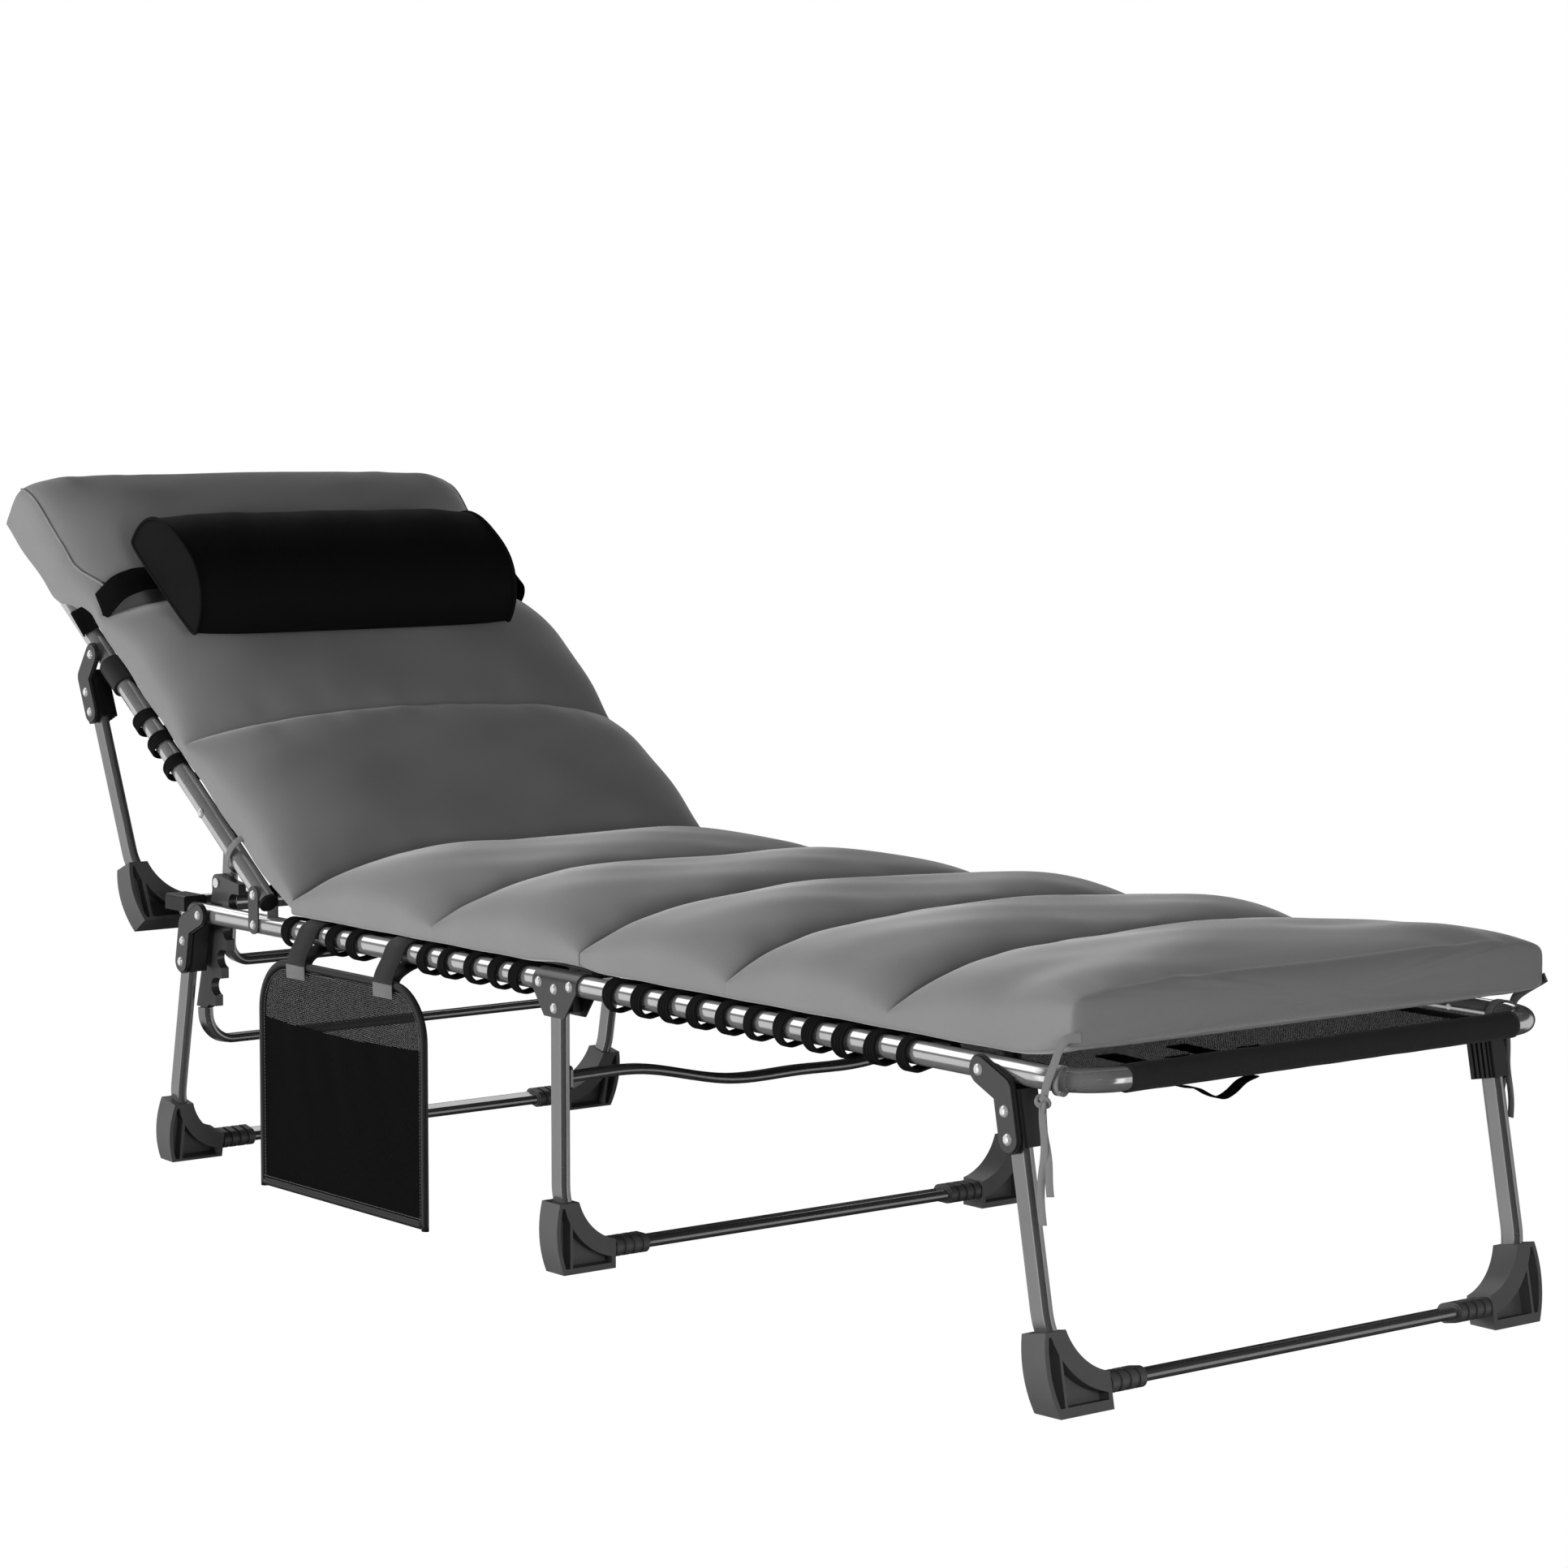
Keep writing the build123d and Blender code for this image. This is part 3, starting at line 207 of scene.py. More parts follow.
class Value:
    # wraps a socket, so that maths on it adds Math nodes
    def __init__(self, nodes, socket):
        self.nodes, self.socket = nodes, socket

    def calc(self, operation, *others):
        return self.nodes.maths(operation, self, *others)

    def __add__(self, other):
        return self.calc("ADD", other)

    def __sub__(self, other):
        return self.calc("SUBTRACT", other)

    def __rsub__(self, other):
        return self.nodes.maths("SUBTRACT", other, self)

    def __mul__(self, other):
        return self.calc("MULTIPLY", other)

    def __neg__(self):
        return self.calc("MULTIPLY", -1.0)

    __radd__, __rmul__ = __add__, __mul__


class Nodes:
    # a node tree, with one method that makes nodes and short names for the common ones
    def __init__(self, tree):
        self.tree = tree

    def node(self, kind, settings=None, links=None, out=0):
        made = self.tree.nodes.new(kind)
        for key, value in (settings or {}).items():
            setattr(made, key, value)
        for key, value in (links or {}).items():
            if isinstance(value, Value):
                self.tree.links.new(value.socket, made.inputs[key])
            else:
                made.inputs[key].default_value = value
        return Value(self, made.outputs[out])

    def maths(self, operation, *values):
        return self.node("ShaderNodeMath", {"operation": operation}, dict(enumerate(values)))

    def outputs(self, value):
        return {socket.name: Value(self, socket) for socket in value.socket.node.outputs}

    def axes(self, where):
        return self.outputs(self.node("ShaderNodeSeparateXYZ", None, {0: where})).values()

    def place(self):
        return self.node("ShaderNodeTexCoord", out="Object")

    def uv(self):
        return self.node("ShaderNodeUVMap", {"uv_map": "clothUV"})

    def noise(self, where, scale, detail=3.0, rough=0.5):
        return self.node("ShaderNodeTexNoise", None,
                         {"Vector": where, "Scale": scale, "Detail": detail, "Roughness": rough})

    def mix(self, factor, dark, light):
        return self.node("ShaderNodeMix", {"data_type": "RGBA"}, {0: factor, 6: dark, 7: light}, out=2)

    def bump(self, height, strength, distance):
        return self.node("ShaderNodeBump", None, {"Strength": strength, "Distance": distance, "Height": height})

    def either(self, test, no, yes):
        return self.node("ShaderNodeMixShader", None, {0: test, 1: no, 2: yes})

    def finish(self, surface, output):
        self.tree.links.new(surface.socket, self.tree.nodes[output].inputs["Surface"])


class Shader(Nodes):
    # a material and its Principled shader
    def __init__(self, name, **fixed):
        self.material = bpy.data.materials.new(name)
        self.material.use_nodes = True
        super().__init__(self.material.node_tree)
        self.base = self.tree.nodes["Principled BSDF"]
        for key, value in fixed.items():
            self.base.inputs[key.replace("_", " ")].default_value = value

    def feed(self, **links):
        for key, value in links.items():
            self.tree.links.new(value.socket, self.base.inputs[key.replace("_", " ")])
        return self.material


def grey(value):
    return (value, value, value, 1.0)


def paintedSteel(name, tone, rough, metallic=0.9):
    # satin metallic paint with faint handling marks
    s = Shader(name, Metallic=metallic, Coat_Weight=0.4, Coat_Roughness=0.08)
    smear = s.noise(s.place(), scale=14.0, detail=4.0, rough=0.6)
    colour = s.mix(smear, grey(tone * 0.88), grey(tone * 1.1))
    return s.feed(Base_Color=colour, Roughness=smear * 0.08 + (rough - 0.04), Normal=s.bump(smear, 0.03, 0.001))


def mouldedPlastic(name, tone, rough):
    # moulded plastic: fine spark-eroded grain and dull scuffs
    s = Shader(name)
    spot = s.place()
    grain = s.noise(spot, scale=900.0, detail=2.0)
    scuff = s.noise(spot, scale=30.0, detail=5.0, rough=0.65)
    colour = s.mix(scuff, grey(tone * 0.8), grey(tone * 1.35))
    return s.feed(Base_Color=colour, Roughness=scuff * 0.25 + (rough - 0.12), Normal=s.bump(grain, 0.25, 0.0003))


def wovenCloth(name, tone, pitch, rough=0.85, sheen=0.25, openness=0.0, contrast=0.35, shine=0.25):
    # plain weave: the product of two sine waves on the piece's own uv, with uneven yarns
    s = Shader(name, Sheen_Weight=sheen, Sheen_Roughness=0.5, Specular_IOR_Level=shine)
    u, v, _ = s.axes(s.uv())
    turn = 2 * math.pi / pitch
    warp = (u * turn).calc("SINE")
    weft = (v * turn).calc("SINE")
    cross = warp * weft
    yarn = s.noise(s.place(), scale=260.0, rough=0.6)
    patch = s.noise(s.place(), scale=9.0, detail=4.0, rough=0.6)
    height = cross * 0.5 + yarn * 0.3
    # the colour is darker where the weave's bump is low and lighter on its raised crossings, a painted shade in the
    # weave's hollows, mixed with random patches of tone
    hollowShadeAndTone = (cross * 0.5 + 0.5) * contrast + patch * (1 - contrast)
    colour = s.mix(hollowShadeAndTone, grey(tone * 0.78), grey(tone * 1.2))
    links = {"Base_Color": colour, "Normal": s.bump(height, 0.35, pitch * 0.25),
             "Roughness": patch * 0.15 + (rough - 0.08)}
    if openness:
        holes = warp.calc("ABSOLUTE") * weft.calc("ABSOLUTE")
        links["Alpha"] = 1 - holes.calc("GREATER_THAN", 1 - openness)
    return s.feed(**links)


def padClothLook(name, tone, pitch=0.0022):
    # brushed polyester: short nap that turns lighter in patches, over a very fine diagonal weave
    s = Shader(name, Sheen_Weight=0.25, Sheen_Roughness=0.45, Specular_IOR_Level=0.3)
    spot = s.place()
    nap = s.noise(spot, scale=320.0, detail=4.0, rough=0.7)
    brushed = s.noise(spot, scale=5.0)
    u, v, _ = s.axes(s.uv())
    twill = ((u + v) * (2 * math.pi / pitch)).calc("SINE")
    colour = s.mix(nap * 0.45 + brushed * 0.55, grey(tone * 0.88), grey(tone * 1.12))
    height = nap * 0.8 + twill * 0.25
    return s.feed(Base_Color=colour, Roughness=brushed * 0.1 + 0.82, Normal=s.bump(height, 0.3, 0.0006))


looks = {
    "rail_steel": paintedSteel("railSteel", 0.70, 0.14),
    "leg_steel": paintedSteel("legSteel", 0.29, 0.20),
    "plate_steel": paintedSteel("plateSteel", 0.07, 0.38, 0.75),
    "rack_steel": paintedSteel("rackSteel", 0.09, 0.40, 0.75),
    "rivet_steel": paintedSteel("rivetSteel", 0.8, 0.2, 0.8),
    "shoe_plastic": mouldedPlastic("shoePlastic", 0.042, 0.45),
    "black_plastic": mouldedPlastic("blackPlastic", 0.005, 0.38),
    "grip_sleeve": mouldedPlastic("gripSleeve", 0.009, 0.5),
    "mesh_cloth": wovenCloth("bedMesh", 0.022, 0.0032, openness=0.05, sheen=0.0, contrast=0.7, shine=0.04),
    "sleeve_cloth": wovenCloth("sleeveCloth", 0.012, 0.0022, sheen=0.03),
    "elastic_cord": wovenCloth("elasticCord", 0.0045, 0.0022, sheen=0.0, contrast=0.7),
    "webbing": wovenCloth("webbing", 0.002, 0.002, sheen=0.0, contrast=0.5, shine=0.1),
    "hanger_tape": wovenCloth("hangerTape", 0.012, 0.0018, rough=0.5, sheen=0.02, contrast=0.5),
    "pad_cloth": padClothLook("padCloth", 0.112),
    "pillow_cloth": wovenCloth("pillowCloth", 0.0045, 0.0016, rough=0.62, sheen=0.0, shine=0.05),
    "pocket_mesh": wovenCloth("pocketMesh", 0.006, 0.0030, openness=0.06, sheen=0.0, contrast=0.6, shine=0.1),
}
pocketCloth = wovenCloth("pocketCloth", 0.002, 0.0026, contrast=0.6, sheen=0.0, shine=0.1)
hangerTip = wovenCloth("hangerTip", 0.07, 0.0018, contrast=0.4)
tieCloth = wovenCloth("tieCloth", 0.09, 0.0018, sheen=0.2)
bindingTape = mouldedPlastic("bindingTape", 0.007, 0.4)
thread = mouldedPlastic("thread", 0.05, 0.5)

slotOf = {row["node"]: row["material_slot"] for row in frame["record"]["subparts"]}
for nodeName, shown in frame["nodes"].items():
    for holder in shown.material_slots:
        holder.material = looks[slotOf[nodeName]]
print("materials made")


def finishPiece(piece, body, slot, look=None, replaced=()):
    piece.data.materials.clear()
    piece.data.materials.append(look or looks[slot])
    if body:
        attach(piece, body)
    if replaced:
        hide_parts(*replaced)
    return piece


pad = {
    "base": 0.0135, "rows": 22, "around": 112,
    "cellPower": 0.40, "nosePower": 1.5,  # how steeply a cell's top and its side rise beside a seam
    "endSlope": 0.55, "endPower": 2.2, "squareFrom": 0.55, "squareOver": 0.45,  # a boxy end
    "seamEdge": 1.65, "noseEdge": 1.35, "squareEdge": 4, "underEdge": 5.5, "underPower": 0.24,
    "pinch": 0.024, "pinchFrom": 0.02, "pinchOver": 0.5, "seamLift": 0.010,  # at a seam's ends
    "sideDrop": 0.008, "dropFrom": 0.17, "dropOver": 0.11,
    "settle": -0.0020, "foldLift": 0.0035, "foldReach": 0.045, "railFrom": 0.262, "railOver": 0.02,
    "pucker": 0.0021, "puckerReach": 14, "lump": 0.0022, "dent": 0.0013, "sway": 0.0016,
    "puckerWaves": ((61, 0, 1, 0.6), (97, 7, 2.3, 1), (171, 0, 1.7, 0.5)),  # across, along, phase, size
    "lumpWave": (19, 23), "dentWaves": (37, -51, 8, 31), "swayWave": 61,
    "endRings": (0.012, 0.05, 0.12, 0.24, 0.42, 0.65, 0.9),
}
footCells = {"seams": (0.0315, 0.2675, 0.504, 0.7450), "ends": (0.062, 0.068), "square": True,
             "phase": 0.4, "bulge": 0.019}
seatCells = {"seams": (-0.506, -0.232, 0.0305), "ends": (0.052, 0.062), "square": False,
             "phase": 2.1, "bulge": 0.0003}
backCells = {"seams": (-0.0522, 0.221, 0.455, 0.680), "ends": (0.0545, 0.046), "square": True,
             "phase": 4.0, "bulge": 0.010}
footEnd = {"lift": 0.016, "from": 0.66, "over": 0.09}
crease = {"base": 0.0130, "lift": 0.0083, "from": 0.045, "over": 0.097, "power": 1.5,
          "lean": 0.7138, "leanFrom": 0.0370, "leanLow": -0.05, "leanOver": 0.09}
hood = {"from": 0.47, "over": 0.07, "deep": 0.0245, "wide": 0.0115, "piping": 0.0016, "column": 6}
strap = {"u": 0.462, "press": 0.006, "pressHalf": 0.027, "width": 0.040, "thick": 0.0019,
         "lowEnd": 0.012, "straightFrom": 0.060}
bedShape = {"place": onBed, "half": 0.298, "sideSeam": 0.019, "crest": 0.095, "valley": 0.071}
backShape = {"place": onBack, "half": 0.2955, "sideSeam": 0.016, "crest": 0.0905, "valley": 0.067}


def cellFill(q):
    # 0 at a cell's seams, 1 along its middle, steep beside the seams
    return (1 - (2 * q - 1) ** 2) ** pad["cellPower"]


def hoodDrop(s):
    # 0 below the hood and 1 along it, where the head end slips down over the frame's top corners
    return smooth((s - hood["from"]) / hood["over"])


def footBase(s):
    # lies on the mesh, and lifts with a square towards the foot end
    return pad["base"] + footEnd["lift"] * np.clip((s - footEnd["from"]) / footEnd["over"], 0, 1) ** 2


def seatBase(s):
    # level
    return pad["base"] + 0 * s


def backBase(s):
    # the underside lifts where it meets the seat pad in the crease, and drops along the hood
    lift = crease["lift"] * np.clip((crease["from"] - s) / crease["over"], 0, 1) ** crease["power"]
    return crease["base"] + lift - hood["deep"] * hoodDrop(s)


def padRows(seams, valleys, squareEnd):
    # the rows along a pad, dense beside each seam: how far along it is, how full the cell is,
    # how round its side is, how high its valleys are, and how square the end is
    q = (1 - np.cos(np.linspace(0, math.pi, pad["rows"] + 1))) / 2
    rows = []
    for k, (a, b) in enumerate(zip(seams, seams[1:])):
        last = k == len(seams) - 2
        part = q if last else q[:-1]
        fill, square = cellFill(part), 0 * part
        if last and squareEnd:
            slope = 1 - pad["endSlope"] * np.clip(2 * part - 1, 0, 1) ** pad["endPower"]
            fill = np.where(part > 0.5, slope, fill)
            square = smooth((part - pad["squareFrom"]) / pad["squareOver"])
        nose = cellFill(part) ** pad["nosePower"]
        rows.append(np.stack([a + (b - a) * part, fill, nose,
                              valleys[k] * (1 - part) + valleys[k + 1] * part, square]))
    return [row[:, None] for row in np.concatenate(rows, axis=1)]


def padShell(shape, cells, base, wide=None):
    # A quilted pad: at each row along it, a closed outline across it from powers of the cosine
    # and sine of phi. Its top swells between the seams, and its sides pinch in at them. Sine
    # waves across and along it make puckers beside the seams and lumps over the cells.
    first, last = cells["ends"]
    valleys = [first] + [shape["valley"]] * (len(cells["seams"]) - 2) + [last]
    s, fill, nose, low, square = padRows(cells["seams"], valleys, cells["square"])
    phi = np.arange(pad["around"])[None, :] * 2 * math.pi / pad["around"]
    c, d = np.cos(phi), np.sin(phi)
    atSeam = (1 - nose) * (1 - square)
    upperPower = 2 / (pad["seamEdge"] + pad["noseEdge"] * nose + pad["squareEdge"] * square)
    half = shape["half"] + (wide(s) if wide else 0)
    half = half - pad["pinch"] * atSeam * smooth((d - pad["pinchFrom"]) / pad["pinchOver"])
    y = -half * np.sign(c) * np.abs(c) ** np.where(d >= 0, upperPower, 2 / pad["underEdge"])
    under = base(s)
    if shape is bedShape:
        # over the rails it settles, except at the middle fold, where it clears the gussets
        settle = pad["settle"] + pad["foldLift"] * np.exp(-((s / pad["foldReach"]) ** 4))
        under = under + settle * smooth((np.abs(y) - pad["railFrom"]) / pad["railOver"])
    side = under + shape["sideSeam"] + pad["seamLift"] * atSeam * smooth(d / pad["pinchOver"])
    top = low + (shape["crest"] - low) * fill
    top = top - pad["sideDrop"] * atSeam * smooth((np.abs(y) - pad["dropFrom"]) / pad["dropOver"])
    if shape is backShape:
        top = top - strap["press"] * np.exp(-(((s - strap["u"]) / strap["pressHalf"]) ** 4))
    h = np.where(d >= 0, side + (top - side) * np.abs(d) ** upperPower,
                 side - (side - under) * np.abs(d) ** pad["underPower"])
    nearSeam = np.exp(-pad["puckerReach"] * (1 - np.sqrt(np.clip(1 - fill**2, 0, 1))) ** 2)
    phase = cells["phase"]
    folds = sum(size * np.sin(across * y + along * s + turn * phase)
                for across, along, turn, size in pad["puckerWaves"])
    lumpY, lumpS = pad["lumpWave"]
    dentY, dentS, patchY, patchS = pad["dentWaves"]
    lumps = pad["lump"] * np.sin(lumpY * y + lumpS * s + phase)
    dents = pad["dent"] * np.sin(dentY * y + dentS * s + 3 * phase) * np.sin(patchY * y + patchS * s)
    h = h + (pad["pucker"] * folds * nearSeam + lumps + dents) * fill * d * (d > 0)
    y = y + pad["sway"] * np.sin(pad["swayWave"] * s + phase) * fill * np.abs(c)
    s = s + 0 * y
    if shape is backShape:
        # the first rows lean until the pad's lower end is upright against the seat pad
        upright = 1 - smooth((s - crease["leanLow"]) / crease["leanOver"])
        s = s + crease["lean"] * (h - crease["leanFrom"]) * upright
    for row, outward in ((0, -1), (-1, 1)):
        # each end is shut by rings that shrink to its middle, bulging by a quarter circle
        ring = [a[row] for a in (s, y, h)]
        middle = [a.mean() for a in ring]
        shut = []
        for t in pad["endRings"]:
            shut.append([m + (a - m) * (1 - t) for a, m in zip(ring, middle)])
            shut[-1][0] = shut[-1][0] + outward * cells["bulge"] * math.sqrt(1 - (1 - t) ** 2)
        more = [np.stack(rows) for rows in zip(*shut[::outward])]
        s, y, h = [np.concatenate([a, m][::outward]) for a, m in zip((s, y, h), more)]
    return shape["place"](s, y, h)


def padPiece(name, shell, body, replaced):
    piece = faceOut(gridPiece(name, shell, capU=True))
    finishPiece(piece, body, "pad_cloth", replaced=replaced)
    subdivide(piece)
    return piece


footPad = padPiece("footPad", padShell(bedShape, footCells, footBase), "foot_section", ["foot_pad"])
seatPad = padPiece("seatPad", padShell(bedShape, seatCells, seatBase), "head_section", ["seat_pad"])
backShell = padShell(backShape, backCells, backBase, lambda s: hood["wide"] * hoodDrop(s))
backPad = padPiece("backPad", backShell, None, ["back_pad", "pad_fold"])
creaseMiddle = [onBack(np.array(s), np.array(0.0), np.array(0.045)) for s in (-0.05, 0.1)]
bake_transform(backPad)
endRows = len(pad["endRings"])
hoodRows = slice(endRows + 2 * pad["rows"] + 2, -endRows)
hoodSeams = [gridPiece("hoodPiping", sweep(backShell[hoodRows, column], backOut, disc(hood["piping"])), capU=True)
             for column in (hood["column"], pad["around"] // 2 - hood["column"])]
finishPiece(joinPieces("hoodPiping", hoodSeams), "backrest", "pad_cloth")
print("pads made")


loops = {
    "foot": (0.091, 0.138, 0.182, 0.226, 0.270, 0.313, 0.358, 0.401, 0.445, 0.490, 0.535),
    "head": (-0.502, -0.412, -0.371, -0.236, -0.198, -0.151, -0.107, -0.069),
    "back": (0.220, 0.261, 0.301),
    "cordR": 0.0019, "gap": 0.0034, "cords": (-1.5, -0.5, 0.5, 1.5),
    "railR": 0.0150, "hemR": 0.0066, "hemY": 0.250, "hang": -0.0016,
    "fan": 0.25, "fanWave": 90, "stray": 0.0012, "points": 44,
}
bed = {
    "foot": (0.016, 0.7386), "head": (-0.544, -0.016), "back": (0.086, 0.656),
    "half": 0.2475, "hem": -0.002, "backHem": -0.008, "sag": 0.0015,
    "rodWide": 0.0046, "rodThick": 0.0030, "rodShort": 0.002,
}


def racetrack(near, far, nearR, farR, count):
    # closed outline stretched round two circles; x is outwards, the small circle is at near
    lean = math.asin((farR - nearR) / (far[0] - near[0]))
    big = np.linspace(-math.pi / 2 - lean, math.pi / 2 + lean, count * 3 // 5)
    small = np.linspace(math.pi / 2 + lean, 3 * math.pi / 2 - lean, count // 5)
    outline = np.concatenate([
        np.stack([far[0] + farR * np.cos(big), far[1] + farR * np.sin(big)], axis=1),
        np.stack([near[0] + nearR * np.cos(small), near[1] + nearR * np.sin(small)], axis=1),
    ])
    ring = np.vstack([outline, outline[:1]])
    along = runLength(ring)
    at = np.linspace(0, along[-1], count, endpoint=False)
    return np.stack([np.interp(at, along, ring[:, k]) for k in (0, 1)], axis=1)


def cordLoops(name, body, place, stations, hem, replaced):
    # at each station four closed cords side by side, fanning a little with their height
    outline = racetrack((loops["hemY"], hem), (rail["half"], loops["hang"]),
                        loops["hemR"], loops["railR"], loops["points"])
    y, h = outline.T
    inward = np.clip((rail["half"] - y) / (rail["half"] - loops["hemY"]), 0, 1)
    fan = 1 + loops["fan"] * np.sin(loops["fanWave"] * h[None, :] + np.arange(len(stations))[:, None])
    one, zero = np.array(1.0), np.array(0.0)
    guide = place(one, zero, zero) - place(zero, zero, zero)
    made = []
    for k, at in enumerate(stations):
        for side in (-1, 1):
            for cord in loops["cords"]:
                s = at + cord * loops["gap"] * fan[k] + (k % 3 - 1) * loops["stray"] * inward
                path = place(s, side * y, h)
                made.append(gridPiece(name, sweep(path, guide, disc(loops["cordR"]), True), closeU=True))
    finishPiece(joinPieces(name, made), body, "elastic_cord", replaced=replaced)


cordLoops("footCords", "foot_section", onBed, loops["foot"], bed["hem"], ["foot_loops"])
cordLoops("headCords", "head_section", onBed, loops["head"], bed["hem"], ["head_loops"])
cordLoops("backCords", "backrest", onBack, loops["back"], bed["backHem"], ["back_loops"])
print("cords made")


def bedSheet(name, body, place, start, end, h, replaced, rests):
    # a flat sheet between the rails that sags by a cosine across and a square along, with a
    # hem round a rod at each side
    s = np.linspace(start, end, 60)[:, None]
    y = np.linspace(-bed["half"], bed["half"], 50)[None, :]
    sag = bed["sag"] * np.cos(y / bed["half"] * math.pi / 2) * (1 - ((s - start) / (end - start) * 2 - 1) ** 2)
    cloth = gridPiece(name, place(s + 0 * y, y + 0 * s, h - sag), closeV=False)
    finishPiece(cloth, body, "mesh_cloth", replaced=replaced)
    line = np.linspace(start + bed["rodShort"], end - bed["rodShort"], 90)
    rod = oval(bed["rodWide"], bed["rodThick"], 12)
    hems = [gridPiece(name, sweep(place(line, side * loops["hemY"] + 0 * line, h + 0 * line), (0.01, 0, 1), rod),
                      capU=True) for side in (-1, 1)]
    hem = finishPiece(joinPieces(name + "Hem", hems), body, "mesh_cloth", looks["sleeve_cloth"])


bedSheet("footBed", "foot_section", onBed, *bed["foot"], bed["hem"], ["foot_mesh"], ["foot_frame"])
bedSheet("headBed", "head_section", onBed, *bed["head"], bed["hem"], ["head_mesh"], ["head_frame"])
bedSheet("backBed", "backrest", onBack, *bed["back"], bed["backHem"], ["back_mesh"], ["back_frame"])

sleeve = {
    "foot": 0.755, "back": 0.668, "half": 0.244, "outer": 0.0124, "inner": 0.0115,
    "ridge": 0.0016, "ridgeAt": 0.9 * math.pi, "ridgeWide": 0.12, "pull": 0.00018,
}


def clothSleeve(name, body, place, at, replaced):
    # cloth round the crossbar: an outer tube with the seam's ridge, and an inner tube
    y = np.linspace(-sleeve["half"], sleeve["half"], 96)[:, None]
    a = np.arange(40)[None, :] * math.pi / 20
    fromRidge = np.angle(np.exp(1j * (a - sleeve["ridgeAt"])))
    ridge = sleeve["ridge"] * np.exp(-((fromRidge / sleeve["ridgeWide"]) ** 2))
    outer = sleeve["outer"] + ridge + sleeve["pull"] * np.sin(y * 95 + a * 2) * np.sin(a + y * 31)
    radius = np.concatenate([outer, sleeve["inner"] + 0 * outer])
    across = np.concatenate([y + 0 * a, (y + 0 * a)[::-1]])
    points = place(at + radius * np.cos(a), across, radius * np.sin(a))
    finishPiece(faceOut(gridPiece(name, points, closeU=True)), body, "sleeve_cloth", replaced=replaced)


clothSleeve("footSleeve", "foot_section", onBed, sleeve["foot"], ["foot_sleeve"])
clothSleeve("backSleeve", "backrest", onBack, sleeve["back"], ["back_sleeve"])


def ribbon(name, knots, up, width, thick, count=60, wave=0.0):
    # a flat band along a smooth path, with a slow sine ripple
    ripple = wave * np.sin(np.linspace(0, 9, count))[:, None] * np.asarray(up, float)
    return gridPiece(name, sweep(smoothPath(knots, count) + ripple, up, slab(width, thick)), capU=True)


# two straps run under the pad and tuck in on top of the sleeve; a slack loop hangs between them
webbing = [ribbon("footWebbing", [
    (0.660, y, 0.2915), (0.700, y, 0.2905), (0.727, y, 0.2915), (0.7425, y, 0.2965),
    (0.7500, y, 0.3020), (0.7585, y, 0.3010)], (-0.3, 0.0, 1), 0.024, 0.0013, 50) for y in (-0.178, -0.092)]
webbing.append(ribbon("footWebbing", [
    (0.7560, -0.180, 0.2768), (0.7575, -0.162, 0.2735), (0.7590, -0.147, 0.2660), (0.7597, -0.134, 0.2625),
    (0.7590, -0.121, 0.2660), (0.7575, -0.106, 0.2735), (0.7560, -0.090, 0.2768)], (0, 0, 1), 0.013, 0.0014))
finishPiece(joinPieces("footWebbing", webbing), "foot_section", "webbing", replaced=["foot_webbing"])
print("bed made")


tie = {"width": 0.009, "thick": 0.0011, "tailWidth": 0.0085, "knotSize": 0.0024, "turnR": 0.0126,
       "turnSlope": 0.005, "ripple": 0.0008}


def knot(centre, size):
    # a trefoil knot's curve in a flat band
    t = np.linspace(0, 2 * math.pi, 60, endpoint=False)
    curl = np.stack([np.sin(t) + 2 * np.sin(2 * t), 0.9 * np.sin(3 * t), np.cos(t) - 2 * np.cos(2 * t)], axis=1)
    band = sweep(np.asarray(centre) + size * curl, (0.1, 1, 0.1), slab(0.0055, 0.0016), True)
    return gridPiece("knot", band, closeU=True)


def padTie(name, corner, at, tails, side):
    # ribbon from the pad's corner, once round the rail, a knot below, two loose tails
    x, z = at
    cx, cy, cz = corner
    made = [ribbon(name, [(cx, side * cy, cz), (cx - 0.012, side * 0.3020, cz - 0.004),
                          (x + 0.012, side * 0.3070, z + 0.034), (x + 0.004, side * 0.3085, z + 0.014),
                          (x, side * 0.3075, z)], (0.1, side, 0.2), tie["width"], tie["thick"], 40)]
    a = np.linspace(0, 2 * math.pi, 40, endpoint=False)
    turn = np.stack([x + 0.006 + tie["turnSlope"] * np.cos(a), side * (rail["half"] + tie["turnR"] * np.cos(a)),
                     rail["z"] - 0.0005 + tie["turnR"] * np.sin(a)], axis=1)
    made.append(gridPiece(name, sweep(turn, (1, 0, 0), slab(tie["thick"], tie["width"]), True), closeU=True))
    made.append(knot((x, side * 0.3085, z), tie["knotSize"]))
    for tx, tz, sway in tails:
        half = (x + tx) / 2
        made.append(ribbon(name, [(x, side * 0.3085, z - 0.002), (half - sway, side * 0.3100, (2 * z + tz) / 3),
                                  (half + sway, side * 0.3085, (z + 2 * tz) / 3), (tx, side * 0.3095, tz)],
                           (0.15, side, 0), tie["tailWidth"], tie["thick"], 50, tie["ripple"]))
    finishPiece(joinPieces(name, made), "foot_section", "pad_cloth", tieCloth)


tieCorner = (0.7545, 0.2925, 0.330)
padTie("nearFootTie", tieCorner, (0.723, 0.271), ((0.735, 0.192, 0.002), (0.726, 0.166, -0.003)), -1)
padTie("farFootTie", tieCorner, (0.694, 0.271), ((0.699, 0.188, 0.003), (0.684, 0.160, -0.003)), 1)

